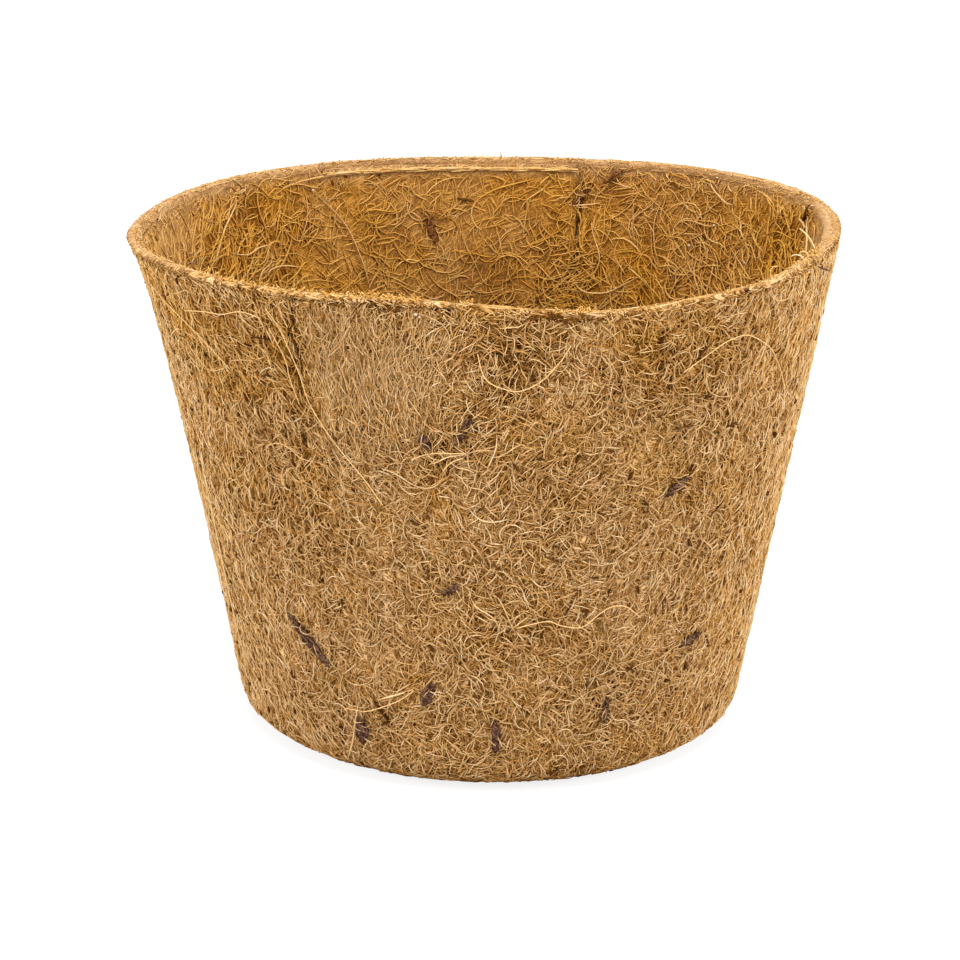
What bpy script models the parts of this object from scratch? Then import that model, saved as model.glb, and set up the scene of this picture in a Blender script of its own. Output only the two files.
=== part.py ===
"""Coir pot: two felt blanks pressed into a tapered wall, lapped and seated on a base disc.

Metres, +Z up. The origin is on the floor under the middle of the base, and -Y is the
side with the outer lap. Azimuths are degrees counter-clockwise from +X, seen from above.
"""

import math

import bmesh
import bpy

# Pressed shape
HEIGHT = 0.0890
RIM_RADIUS = 0.0600
FOOT_RADIUS = 0.0438  # where the wall's slope would meet the floor
CORNER_RADIUS = 0.0080
TURN_IN = 0.0080  # flat flange turned in under the base disc

# Felt plies: the wall is two plies thick wherever the blanks lap
PLY = 0.00095
PLY_GAP = 0.0003
WALL = 2 * PLY + PLY_GAP
SCARF = 0.0008  # length along the wall in which a ply steps in to make room for the other
TRIM_STEP = 0.0001  # length along the wall in which its top steps down there

# Laps: azimuth of the edge that shows, and how far round the two plies overlap
OUTER_LAP_EDGE = 236.5
OUTER_LAP_SPAN = 27.0
OUTER_TRIM = 0.0015  # the outer tongue stops this far below the rim
LIP = OUTER_TRIM - PLY_GAP  # above the tongue the rear blank is pressed out again, to the outer face
LIP_UNDERCUT = 0.0001  # how far the lip's underside rises outwards
INNER_LAP_EDGE = 73.5
INNER_LAP_SPAN = 51.5
INNER_TRIM = 0.0018

# Base disc: a plug between the flanges, with a lip that lies on them
BASE_LIP = 0.0010
BASE_LIP_EDGE = 0.0005
BASE_LIP_BEVEL = 0.0015
BASE_LAP = 0.0065
SEAT_GAP = 0.0003

# The soft rim is pressed out of round: (lobes, swell, azimuth of a lobe)
LOBES = ((2, 0.00254, 13.8), (3, 0.00121, 42.7), (4, 0.00119, 37.0))
# and pulled out or pushed in close to its edge: (azimuth, pull, spread in degrees)
PULLS = ((192.0, 0.0018, 12.0), (336.0, -0.0010, 11.0))
LOBE_FADE = 2
PULL_FADE = 14
# The edge is cut a little uneven: (azimuth, rise, spread in degrees)
RISES = ((256.0, 0.0006, 11.0), (287.0, -0.0009, 8.0))

# Loose pieces held by the felt's latex
FIBRE = 0.00032
CHIP = 0.00040
CHIP_BLUNTNESS = 0.7  # below 1 a chip keeps its width nearly to its tips
STAND_OFF = 0.00036  # from the felt to a loose piece, with what the facets take

STEP = 5.0  # degrees between wall sections
ARC_STEPS = 5
WALL_SHARES = (0.2, 0.4, 0.6, 0.75, 0.85, 0.91, 0.96, 1.0)
BASE_SEGMENTS = 72
FIBRE_STEPS = 4  # curve points between two points of a route
CHIP_STEPS = 6

SLOPE = math.atan2(RIM_RADIUS - FOOT_RADIUS, HEIGHT)
CORNER_CENTRE = FOOT_RADIUS + CORNER_RADIUS * (math.tan(SLOPE) - 1 / math.cos(SLOPE))
FLANGE_EDGE = CORNER_CENTRE - TURN_IN
OUTER_LAP_END = OUTER_LAP_EDGE + OUTER_LAP_SPAN
INNER_LAP_END = INNER_LAP_EDGE + INNER_LAP_SPAN
MIDDLE_RADIUS = (RIM_RADIUS + FOOT_RADIUS) / 2
SCARF_ANGLE = math.degrees(SCARF / MIDDLE_RADIUS)
TRIM_ANGLE = math.degrees(TRIM_STEP / MIDDLE_RADIUS)
GAP_ANGLE = math.degrees(PLY_GAP / FOOT_RADIUS)

# Routes of loose fibres: (azimuth, share of the height) on the outer or the inner face
OUTER_FIBRES = {
    "long_diagonal_fibre": (
        (232.2, 0.963), (234.3, 0.927), (235.8, 0.884), (237.2, 0.838), (238.1, 0.794),
        (240.1, 0.752), (242.8, 0.710), (245.7, 0.672), (247.9, 0.643), (250.7, 0.600)
    ),
    "short_diagonal_fibre": (
        (232.3, 0.925), (233.2, 0.905), (234.2, 0.881), (234.9, 0.858), (235.1, 0.832), (236.4, 0.782)
    ),
    "right_loop_fibre": (
        (301.8, 0.856), (308.6, 0.897), (312.1, 0.907), (314.9, 0.906), (318.4, 0.889),
        (322.6, 0.861), (325.9, 0.827), (329.4, 0.785), (331.8, 0.749), (332.3, 0.727)
    ),
    "middle_arc_fibre": (
        (267.5, 0.913), (268.4, 0.872), (270.0, 0.853), (272.2, 0.844), (274.4, 0.841),
        (277.8, 0.860), (280.8, 0.899), (282.3, 0.929)
    ),
    "low_wavy_fibre": (
        (275.3, 0.363), (280.7, 0.375), (283.9, 0.363), (287.8, 0.357), (290.8, 0.379),
        (292.8, 0.391), (294.8, 0.394), (297.0, 0.387), (300.1, 0.361)
    ),
    "upper_fan_fibre": ((256.0, 0.697), (258.0, 0.708), (260.2, 0.714), (262.3, 0.715), (265.7, 0.717)),
    "lower_fan_fibre": ((265.2, 0.708), (263.6, 0.701), (262.4, 0.691), (261.6, 0.679)),
    "rim_side_fibre": (
        (212.8, 0.914), (218.7, 0.927), (222.7, 0.931), (226.2, 0.944), (228.3, 0.946), (231.0, 0.940)
    ),
    "left_slanting_fibre": (
        (201.5, 0.935), (205.7, 0.916), (210.1, 0.899), (215.3, 0.873), (219.1, 0.848), (222.5, 0.820)
    ),
    "foot_fibre": (
        (238.3, 0.155), (241.6, 0.157), (243.5, 0.158), (246.2, 0.168), (251.6, 0.195), (254.8, 0.221)
    ),
}
INNER_FIBRES = {
    "inner_left_arc_fibre": (
        (168.9, 0.882), (165.2, 0.883), (160.9, 0.876), (157.6, 0.873), (154.5, 0.873), (150.8, 0.905)
    ),
    "inner_back_fibre": ((72.4, 0.905), (70.7, 0.900), (68.1, 0.889), (65.6, 0.880), (63.0, 0.873)),
    "inner_right_fibre": (
        (35.2, 0.958), (35.4, 0.933), (36.5, 0.900), (38.5, 0.871), (40.7, 0.848), (42.6, 0.827)
    ),
}

# Husk chips: (azimuth, share of the height, length, width, degrees that its top leans to greater azimuth)
OUTER_CHIPS = {
    "large_husk_chip": (230.9, 0.284, 0.0119, 0.0020, -44.5),
    "foot_husk_chip": (242.2, 0.114, 0.0054, 0.0024, 1.5),
    "low_middle_husk_chip": (257.5, 0.213, 0.0047, 0.0019, 23.5),
    "low_slim_husk_chip": (271.6, 0.127, 0.0075, 0.0014, -1.0),
    "centre_husk_chip": (262.5, 0.438, 0.0039, 0.0012, 61.0),
    "upper_small_husk_chip": (258.6, 0.734, 0.0034, 0.0018, -22.5),
    "upper_middle_husk_chip": (265.1, 0.759, 0.0060, 0.0013, 32.0),
    "right_husk_chip": (304.5, 0.625, 0.0059, 0.0014, 55.0),
    "low_right_husk_chip": (314.8, 0.281, 0.0057, 0.0013, 73.5),
    "right_foot_husk_chip": (294.8, 0.169, 0.0059, 0.0010, -1.0),
}
INNER_CHIPS = {
    "inner_husk_chip": (103.2, 0.853, 0.0071, 0.0017, 16.0),
    "inner_seam_husk_chip": (72.4, 0.927, 0.0050, 0.0013, -46.0),
    "inner_rim_husk_chip": (66.4, 0.972, 0.0049, 0.0012, -54.5),
}


def clear_scene():
    for item in list(bpy.data.objects):
        bpy.data.objects.remove(item)


def finish(name, colour, roughness):
    """A non-metallic material of the given linear colour."""
    material = bpy.data.materials.new(name)
    material.use_nodes = True
    shader = material.node_tree.nodes["Principled BSDF"]
    shader.inputs["Base Color"].default_value = (*colour, 1.0)
    shader.inputs["Roughness"].default_value = roughness
    shader.inputs["Metallic"].default_value = 0.0
    return material


def coir_felt():
    return finish("coir_felt", (0.41, 0.22, 0.08), 0.9)


def loose_coir():
    return finish("loose_coir", (0.62, 0.36, 0.13), 0.7)


def husk():
    return finish("coconut_husk", (0.09, 0.045, 0.03), 0.8)


def place(name, mesh, material, sharp=35.0):
    """An object of the scene for the mesh, shaded smooth but for its sharp edges."""
    mesh.materials.append(material)
    mesh.shade_smooth()
    mesh.set_sharp_from_angle(angle=math.radians(sharp))
    part = bpy.data.objects.new(name, mesh)
    bpy.context.collection.objects.link(part)
    return part


def mesh_from(name, build):
    """A mesh that build fills, with its faces pointing out."""
    mesh = bpy.data.meshes.new(name)
    work = bmesh.new()
    build(work)
    bmesh.ops.recalc_face_normals(work, faces=work.faces)
    work.to_mesh(mesh)
    work.free()
    return mesh


def turn_between(azimuth, other):
    """Degrees from other to azimuth, the short way round."""
    return (azimuth - other + 180.0) % 360.0 - 180.0


def bumps(azimuth, places):
    """The sum of bell-shaped bumps (azimuth, amount, spread) at an azimuth."""
    total = 0.0
    for place_azimuth, amount, spread in places:
        turn = turn_between(azimuth, place_azimuth) / spread
        total += amount * math.exp(-turn * turn / 2)
    return total


def rim_height(azimuth):
    return HEIGHT + bumps(azimuth, RISES)


def swell(azimuth, height):
    """How far the wall stands out of its round cone."""
    share = max(height, 0.0) / HEIGHT
    out = share**PULL_FADE * bumps(azimuth, PULLS)
    for lobes, amount, lobe_azimuth in LOBES:
        out += amount * share**LOBE_FADE * math.cos(math.radians(lobes * (azimuth - lobe_azimuth)))
    return out


def face_radius(height, depth):
    """Radius of the round cone's face at a height, at a depth below the outer face."""
    return FOOT_RADIUS + height * math.tan(SLOPE) - depth / math.cos(SLOPE)


def profile(depth, lip_depth, top):
    """(radius, height) from the flange's edge to the rim, at depths below the outer face."""
    points = [(FLANGE_EDGE, depth)]
    bend = CORNER_RADIUS - depth
    quarter = math.pi / 2 - SLOPE
    for i in range(ARC_STEPS + 1):
        turn = quarter * i / ARC_STEPS
        points.append((CORNER_CENTRE + bend * math.sin(turn), CORNER_RADIUS - bend * math.cos(turn)))
    start = points[-1][1]
    lip_foot = top - LIP
    for share in WALL_SHARES:
        height = start + share * (lip_foot - start)
        points.append((face_radius(height, depth), height))
    for height in (lip_foot + LIP_UNDERCUT, top):
        points.append((face_radius(height, lip_depth), height))
    return points


def on_wall(azimuth, radius, height):
    """The place in space of a point of the profile."""
    out = radius + swell(azimuth, height)
    turn = math.radians(azimuth)
    return (out * math.cos(turn), out * math.sin(turn), height)


def blend(azimuth, start, end, before, after):
    """A value that goes from before to after between two azimuths."""
    share = min(max((azimuth - start) / (end - start), 0.0), 1.0)
    return before + (after - before) * share


def front_ply(azimuth):
    """(outer depth, lip's depth, inner depth, top) of the front blank: outermost in both laps."""
    opened = OUTER_LAP_END + GAP_ANGLE
    closing = INNER_LAP_EDGE + 360.0 - GAP_ANGLE
    thin_to_full = blend(azimuth, opened, opened + SCARF_ANGLE, PLY, WALL)
    full_to_thin = blend(azimuth, closing - SCARF_ANGLE, closing, WALL, PLY)
    trim = blend(azimuth, opened, opened + TRIM_ANGLE, OUTER_TRIM, 0.0)
    return 0.0, 0.0, min(thin_to_full, full_to_thin), rim_height(azimuth) - trim


def rear_ply(azimuth):
    """(outer depth, lip's depth, inner depth, top) of the rear blank: innermost in both laps.

    Its lip is pressed out over the tongue's top in the outer lap.
    """
    opened = INNER_LAP_END + GAP_ANGLE
    closing = OUTER_LAP_EDGE - GAP_ANGLE
    inner_face = WALL - PLY
    thin_to_full = blend(azimuth, opened, opened + SCARF_ANGLE, inner_face, 0.0)
    full_to_thin = blend(azimuth, closing - SCARF_ANGLE, closing, 0.0, inner_face)
    trim = blend(azimuth, opened, opened + TRIM_ANGLE, INNER_TRIM, 0.0)
    return max(thin_to_full, full_to_thin), thin_to_full, WALL, rim_height(azimuth) - trim


def stations(start, end, corners):
    """Azimuths of the sections: whole steps, and each corner of the plies in order."""
    grid = [STEP * i for i in range(math.ceil(start / STEP), math.floor(end / STEP) + 1)]
    wanted = [start, end, *corners]
    spaced = [a for a in grid if all(abs(a - corner) > SCARF_ANGLE / 2 for corner in wanted)]
    return sorted(spaced + wanted)


def loft(work, sections):
    """A closed skin over rings of points, with ladder caps on the first and the last."""
    rings = [[work.verts.new(point) for point in section] for section in sections]
    count = len(rings[0])
    for ring, after in zip(rings, rings[1:]):
        for i in range(count):
            k = (i + 1) % count
            work.faces.new((ring[i], ring[k], after[k], after[i]))
    for ring in (rings[0], rings[-1]):
        for i in range(count // 2 - 1):
            work.faces.new((ring[i], ring[i + 1], ring[count - 2 - i], ring[count - 1 - i]))


def wall_blank(name, ply, edges, spans):
    """One felt blank, swept round the pot from its own edge to past the other blank's."""
    edge, other_edge = edges
    first_span, last_span = spans
    opened = edge + first_span + GAP_ANGLE
    closing = other_edge - GAP_ANGLE
    corners = (opened, opened + TRIM_ANGLE, opened + SCARF_ANGLE, closing - SCARF_ANGLE, closing)

    def build(work):
        sections = []
        for azimuth in stations(edge, other_edge + last_span, corners):
            outer, lip, inner, top = ply(azimuth)
            ring = profile(outer, lip, top) + profile(inner, inner, top)[::-1]
            sections.append([on_wall(azimuth, radius, height) for radius, height in ring])
        loft(work, sections)

    return place(name, mesh_from(name, build), coir_felt())


def front_wall_blank():
    """The blank whose edge shows outside; it runs on behind the rear blank's edge."""
    edges = (OUTER_LAP_EDGE, INNER_LAP_EDGE + 360.0)
    return wall_blank("front_wall_blank", front_ply, edges, (OUTER_LAP_SPAN, INNER_LAP_SPAN))


def rear_wall_blank():
    """The blank whose edge shows inside; it runs on under the front blank's edge."""
    edges = (INNER_LAP_EDGE, OUTER_LAP_EDGE)
    return wall_blank("rear_wall_blank", rear_ply, edges, (INNER_LAP_SPAN, OUTER_LAP_SPAN))


def base_disc():
    """The stepped disc: a plug level with the flanges' underside, and the lip over them."""
    plug = FLANGE_EDGE - SEAT_GAP
    lip = FLANGE_EDGE + BASE_LAP
    seat = WALL + SEAT_GAP
    outline = (
        (0.0, 0.0),
        (plug, 0.0),
        (plug, seat),
        (lip, seat),
        (lip, seat + BASE_LIP_EDGE),
        (lip - BASE_LIP_BEVEL, seat + BASE_LIP),
        (0.0, seat + BASE_LIP),
    )

    def build(work):
        verts = [work.verts.new((radius, 0.0, height)) for radius, height in outline]
        edges = [work.edges.new(pair) for pair in zip(verts, verts[1:])]
        bmesh.ops.spin(
            work,
            geom=verts + edges,
            cent=(0.0, 0.0, 0.0),
            axis=(0.0, 0.0, 1.0),
            angle=math.tau,
            steps=BASE_SEGMENTS,
            use_merge=True,
        )
        bmesh.ops.remove_doubles(work, verts=work.verts, dist=1e-6)

    return place("base_disc", mesh_from("base_disc", build), coir_felt())


def catmull_rom(before, start, end, after, t):
    """The value at t, 0 to 1, on the smooth curve from start to end."""
    slope = end - before
    bend = 2 * before - 5 * start + 4 * end - after
    twist = 3 * start - before - 3 * end + after
    return 0.5 * (2 * start + slope * t + bend * t**2 + twist * t**3)


def smooth_route(points):
    """Points on a smooth curve through a route, FIBRE_STEPS to each stretch."""
    ends = [points[0], *points, points[-1]]
    route = []
    for around in zip(ends, ends[1:], ends[2:], ends[3:]):
        for i in range(FIBRE_STEPS):
            route.append(tuple(catmull_rom(*values, i / FIBRE_STEPS) for values in zip(*around)))
    return [*route, points[-1]]


def loose_fibre(name, points, depth, side):
    """A fibre that lies on a face of the wall. Side is 1 outside and -1 inside."""
    curve = bpy.data.curves.new(name, "CURVE")
    curve.dimensions = "3D"
    curve.bevel_depth = FIBRE / 2
    curve.bevel_resolution = 0
    curve.use_fill_caps = True
    route = smooth_route(points)
    spline = curve.splines.new("POLY")
    spline.points.add(len(route) - 1)
    off = side * (STAND_OFF + FIBRE / 2) / math.cos(SLOPE)
    for point, (azimuth, share) in zip(spline.points, route):
        height = share * HEIGHT
        point.co = (*on_wall(azimuth, face_radius(height, depth) + off, height), 1.0)
    curve.materials.append(loose_coir())
    part = bpy.data.objects.new(name, curve)
    bpy.context.collection.objects.link(part)
    return part


def husk_chip(name, azimuth, share, length, width, lean, depth, side):
    """A leaf-shaped flake of husk, bent to the face of the wall that it lies on."""
    turn = math.radians(lean)
    middle = share * HEIGHT

    def at(along, across, off):
        height = middle + along * math.cos(turn) - across * math.sin(turn)
        radius = face_radius(height, depth) + side * off / math.cos(SLOPE)
        around = along * math.sin(turn) + across * math.cos(turn)
        return on_wall(azimuth + math.degrees(around / radius), radius, height)

    def build(work):
        half = CHIP / 2
        first = work.verts.new(at(-length / 2, 0.0, STAND_OFF + half))
        last = work.verts.new(at(length / 2, 0.0, STAND_OFF + half))
        rings = []
        for i in range(1, CHIP_STEPS):
            part_way = i / CHIP_STEPS
            reach = width / 2 * math.sin(math.pi * part_way) ** CHIP_BLUNTNESS
            along = length * (part_way - 0.5)
            ring = ((-reach, half), (0.0, CHIP), (reach, half), (0.0, 0.0))
            rings.append([work.verts.new(at(along, across, STAND_OFF + off)) for across, off in ring])
        for i in range(4):
            k = (i + 1) % 4
            work.faces.new((first, rings[0][i], rings[0][k]))
            work.faces.new((last, rings[-1][k], rings[-1][i]))
            for ring, after in zip(rings, rings[1:]):
                work.faces.new((ring[i], after[i], after[k], ring[k]))

    return place(name, mesh_from(name, build), husk(), sharp=60.0)


def main():
    clear_scene()
    front_wall_blank()
    rear_wall_blank()
    base_disc()
    for fibres, depth, side in ((OUTER_FIBRES, 0.0, 1), (INNER_FIBRES, WALL, -1)):
        for name, points in fibres.items():
            loose_fibre(name, points, depth, side)
    for chips, depth, side in ((OUTER_CHIPS, 0.0, 1), (INNER_CHIPS, WALL, -1)):
        for name, chip in chips.items():
            husk_chip(name, *chip, depth, side)


main()
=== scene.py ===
"""Looks of the coir pot: latex-bonded coconut felt, its loose fibres, husk flakes and cut rim.

Metres throughout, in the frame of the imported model. The felt blanks and the base disc are
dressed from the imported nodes, and thousands of single coir strands are laid on their faces.
Azimuths are degrees counter-clockwise from +X; the photograph was taken from -Y.
"""

import logging
import math
from dataclasses import dataclass
from enum import Enum

import bmesh
import bpy
import numpy as np
from mathutils import Matrix, Vector
from mathutils.bvhtree import BVHTree


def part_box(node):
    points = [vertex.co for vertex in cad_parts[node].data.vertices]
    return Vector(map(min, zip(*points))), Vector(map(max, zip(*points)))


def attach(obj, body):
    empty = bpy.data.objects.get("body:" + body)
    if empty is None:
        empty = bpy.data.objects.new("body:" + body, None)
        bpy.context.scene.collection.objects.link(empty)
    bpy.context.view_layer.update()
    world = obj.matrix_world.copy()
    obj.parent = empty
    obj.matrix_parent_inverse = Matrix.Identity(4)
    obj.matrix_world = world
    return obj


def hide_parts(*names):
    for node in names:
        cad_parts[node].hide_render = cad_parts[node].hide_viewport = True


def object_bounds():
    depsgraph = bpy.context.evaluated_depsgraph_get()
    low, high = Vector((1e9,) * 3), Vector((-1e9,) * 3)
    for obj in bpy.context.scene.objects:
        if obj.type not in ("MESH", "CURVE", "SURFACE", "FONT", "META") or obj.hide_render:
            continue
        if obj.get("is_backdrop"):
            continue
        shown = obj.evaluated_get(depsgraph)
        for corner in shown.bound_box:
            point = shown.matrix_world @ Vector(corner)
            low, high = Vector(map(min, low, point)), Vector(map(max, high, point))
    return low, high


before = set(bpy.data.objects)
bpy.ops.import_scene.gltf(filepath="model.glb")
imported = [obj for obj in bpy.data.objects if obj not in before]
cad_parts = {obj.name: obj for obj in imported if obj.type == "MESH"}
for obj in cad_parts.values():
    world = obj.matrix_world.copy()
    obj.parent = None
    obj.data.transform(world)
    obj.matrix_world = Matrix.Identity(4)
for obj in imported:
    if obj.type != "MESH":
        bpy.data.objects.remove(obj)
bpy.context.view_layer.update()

LOG = logging.getLogger("coir_pot")
BODY = "root"
MM = 0.001
AROUND = 52  # the wall's usual radius in mm, by which azimuths are laid out flat
WORN_FRONT = 268.0  # azimuth at which the rim is most rounded off
Array = np.ndarray
Tree = bpy.types.NodeTree
Socket = bpy.types.NodeSocket
Material = bpy.types.Material
Piece = bpy.types.Object


class Face(Enum):
    """The two faces of the pot's wall."""

    OUTER = 1
    INNER = -1


def linear(code: str) -> tuple[float, float, float, float]:
    """The linear colour of an sRGB hex code.

    Args:
        code: Six hex digits, such as "d2a56b".

    Returns:
        Red, green, blue and alpha.
    """
    channels = [int(code[i : i + 2], 16) / 255 for i in (0, 2, 4)]
    lit = [c / 12.92 if c <= 0.04045 else ((c + 0.055) / 1.055) ** 2.4 for c in channels]
    return (*lit, 1.0)


def apart(turn: Array, azimuth: float) -> Array:
    """Angles in radians from an azimuth in degrees, from -pi to pi."""
    return (turn - math.radians(azimuth) + math.pi) % math.tau - math.pi


def on_ring(turn: Array, radius: Array, height: Array) -> Array:
    """Points at azimuths in radians, radii and heights."""
    return np.stack([radius * np.cos(turn), radius * np.sin(turn), height], -1)


def feed(tree: Tree, node: bpy.types.Node, inputs: dict) -> None:
    """Gives inputs of a node their values or links.

    Args:
        tree: The node's tree.
        node: The node.
        inputs: Values, or output sockets to link, by input name or number.
    """
    for name, value in inputs.items():
        if isinstance(value, Socket):
            tree.links.new(value, node.inputs[name])
        else:
            node.inputs[name].default_value = value


def add_node(tree: Tree, kind: str, inputs: dict, out: int | str = 0, **settings: object) -> Socket:
    """Adds a node with its settings, values and links.

    Args:
        tree: The node tree to add it to.
        kind: Blender's name for the node's type, without the ShaderNode in front.
        inputs: Values, or output sockets to link, by input name or number.
        out: Name or number of the output that is wanted.
        settings: Attributes of the node itself.

    Returns:
        That output's socket.
    """
    node = tree.nodes.new("ShaderNode" + kind)
    for name, value in settings.items():
        setattr(node, name, value)
    feed(tree, node, inputs)
    return node.outputs[out]


def ramp(tree: Tree, factor: Socket, stops: dict[float, str]) -> Socket:
    """A colour ramp with stops in sRGB hex.

    Args:
        tree: The node tree to add it to.
        factor: The socket that picks the place on the ramp.
        stops: Hex colour by position, 0 to 1.

    Returns:
        The ramp's colour socket.
    """
    colour = add_node(tree, "ValToRGB", {"Fac": factor})
    points = colour.node.color_ramp.elements
    while len(points) < len(stops):
        points.new(0.5)
    for point, (position, code) in zip(points, sorted(stops.items())):
        point.position = position
        point.color = linear(code)
    return colour


def warmed(tree: Tree, colour: Socket, tint: str) -> Socket:
    """Multiplies a colour by a hex tint where the mesh's own attribute "warm" is 1."""
    warm = add_node(tree, "Attribute", {}, "Fac", attribute_name="warm")
    mixed = {0: warm, 6: colour, 7: linear(tint)}
    return add_node(tree, "Mix", mixed, 2, data_type="RGBA", blend_type="MULTIPLY")


def new_material(name: str) -> tuple[Material, Tree, bpy.types.Node]:
    """A new material with its tree and its Principled shader."""
    material = bpy.data.materials.new(name)
    material.use_nodes = True
    return material, material.node_tree, material.node_tree.nodes["Principled BSDF"]


@dataclass(frozen=True)
class FeltFinish:
    """Coir felt, hot-pressed with latex: a mat of fine fibres in all directions, darker where it is open, as
    painted shade in its gaps.

    Each layer of fibres is noise drawn out along one direction and bent a little. The layers
    lie over one another, each with a painted shadow at its edge and painted shading that makes
    its fibres lighter along their ridges, on the flat map "flat_mm" of the mesh.
    """

    name: str
    stops: dict[float, str]
    pale_and_lit_stops: dict[float, str] | None = None
    tint: str = "fdeb98"
    headings: tuple[float, ...] = (8.0, 95.0, 140.0, 52.0, 80.0, 120.0, 25.0)
    fibre_mm: tuple[float, float] = (3.4, 0.40)
    bend_mm: float = 1.1
    wander_mm: float = 6.25
    light: float = 1.0
    base_tone: float = 0.15
    # open felt is drawn darker: painted shade in the gaps between its fibres
    open_tone: float = -0.35
    soft_tone: float = 0.30
    soft_gain: float = -0.62
    roughness: float = 0.85
    specular: float = 0.03
    relief_mm: float = 0.15

    def build(self) -> Material:
        """Makes the material: fibres over one another, then the mesh's open and warm areas."""
        material, tree, shader = new_material(self.name)
        place = add_node(tree, "Attribute", {}, "Vector", attribute_name="flat_mm")
        wander = {"Vector": place, "Scale": 1 / self.wander_mm, "Detail": 2.0}
        bent = add_node(tree, "TexNoise", wander, "Color")
        away = add_node(tree, "VectorMath", {0: bent, 1: (0.5, 0.5, 0.5)}, operation="SUBTRACT")
        value = 0.0
        for layer, heading in enumerate(self.headings):
            edge, body, lit = self.fibres(tree, layer, heading, (place, away))
            shaded = add_node(tree, "Mix", {0: edge, 2: value, 3: 0.0}, data_type="FLOAT")
            value = add_node(tree, "Mix", {0: body, 2: shaded, 3: lit}, data_type="FLOAT")
        gaps, soft, pale = (
            add_node(tree, "Attribute", {}, "Fac", attribute_name=name) for name in ("open", "soft", "pale")
        )
        shaded = {0: gaps, 1: self.open_tone, 2: self.base_tone}
        base = add_node(tree, "Math", shaded, operation="MULTIPLY_ADD")
        base = add_node(tree, "Math", {0: soft, 1: self.soft_tone, 2: base}, operation="MULTIPLY_ADD")
        gain = add_node(tree, "Math", {0: soft, 1: self.soft_gain, 2: self.light}, operation="MULTIPLY_ADD")
        tone = add_node(tree, "Math", {0: value, 1: gain, 2: base}, operation="MULTIPLY_ADD")
        colour = warmed(tree, ramp(tree, tone, self.stops), self.tint)
        if self.pale_and_lit_stops:
            mixed = {0: pale, 6: colour, 7: ramp(tree, tone, self.pale_and_lit_stops)}
            colour = add_node(tree, "Mix", mixed, 2, data_type="RGBA")
        relief = {"Height": value, "Strength": 0.8, "Distance": self.relief_mm * MM}
        feed(tree, shader, {"Base Color": colour, "Normal": add_node(tree, "Bump", relief)})
        feed(tree, shader, {"Roughness": self.roughness, "Specular IOR Level": self.specular})
        return material

    def fibres(self, tree: Tree, layer: int, heading: float, flat: tuple[Socket, Socket]) -> list[Socket]:
        """One layer of fibres, as noise drawn out along its heading.

        Args:
            tree: The node tree to add to.
            layer: The layer's number.
            heading: Its direction in degrees.
            flat: The flat map, and how it is bent.

        Returns:
            The painted shadow at the edge of its fibres, where they are, and how light they are, with
            painted shading that lightens their ridges.
        """
        place, away = flat
        amount = self.bend_mm * (3.0 + layer % 3)
        moved = add_node(tree, "VectorMath", {0: away, 1: (amount,) * 3, 2: place}, operation="MULTIPLY_ADD")
        turn = {"Rotation": (0, 0, math.radians(heading)), "Location": (17.3 * layer, 5.1 * layer, 0)}
        turned = add_node(tree, "Mapping", {"Vector": moved, **turn})
        size = (1 / self.fibre_mm[0], 1 / self.fibre_mm[1], 0)
        drawn = add_node(tree, "VectorMath", {0: turned, 1: size}, operation="MULTIPLY")
        grain = {"Vector": drawn, "Scale": 1.0, "Detail": 0.0}
        noise = add_node(tree, "TexNoise", grain, noise_dimensions="2D")
        names = ("From Min", "From Max", "To Min", "To Max")
        # The noise is a fibre where it is high: its edge comes first, a painted shadow on the layers below,
        # then its body, then its ridge, painted lighter as the shading of a round fibre.
        spans = ((0.47, 0.57, 0.0, 0.75), (0.54, 0.62, 0.0, 1.0), (0.52, 0.78, 0.42, 1.0))
        return [add_node(tree, "MapRange", {"Value": noise, **dict(zip(names, span))}) for span in spans]


@dataclass(frozen=True)
class StrandFinish:
    """Single coir fibres: hard, waxy lignin with a dull gloss, straw to brown by age; their tone also
    carries painted shade.
    """

    name: str
    stops: dict[float, str]
    tint: str = "fdeb98"
    grain_mm: float = 0.5
    grain_share: float = 0.4
    roughness: float = 0.5
    specular: float = 0.08

    def build(self) -> Material:
        """Makes the material: each strand's tone and warmth from its mesh, with a fine grain on it."""
        material, tree, shader = new_material(self.name)
        tone = add_node(tree, "Attribute", {}, "Fac", attribute_name="tone")
        place = add_node(tree, "TexCoord", {}, "Object")
        fine = {"Vector": place, "Scale": 1 / (self.grain_mm * MM), "Detail": 2.0}
        grain = add_node(tree, "TexNoise", fine)
        shifted = add_node(tree, "Math", {0: grain, 1: -0.5}, operation="ADD")
        scaled = add_node(tree, "Math", {0: shifted, 1: self.grain_share, 2: tone}, operation="MULTIPLY_ADD")
        span = {"Value": grain, "To Min": self.roughness - 0.1, "To Max": self.roughness + 0.15}
        colour = warmed(tree, ramp(tree, scaled, self.stops), self.tint)
        feed(tree, shader, {"Base Color": colour, "Roughness": add_node(tree, "MapRange", span)})
        feed(tree, shader, {"Specular IOR Level": self.specular})
        return material


FELT_STOPS = {0.0: "2a1403", 0.3: "673d0e", 0.6: "a47741", 0.85: "cca36b", 1.0: "dab688"}
# Paler felt of the cut rim and of bare, pressed felt; on the crest and the ledge it is also painted
# highlight where their tops face the light above.
PALE_AND_LIT_STOPS = {0.0: "b08557", 0.5: "d0a678", 1.0: "e8c9a0"}
STRAND_STOPS = {0.0: "432303", 0.25: "82551b", 0.5: "bb8c4f", 0.75: "dbb682", 1.0: "edd3ac"}
CHIP_STOPS = {0.0: "180c06", 0.4: "311e13", 0.7: "4b3326", 1.0: "745441"}
SKIN_STOPS = {0.0: "281206", 0.4: "4a2711", 0.7: "693e1e", 1.0: "8c5d33"}


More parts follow.
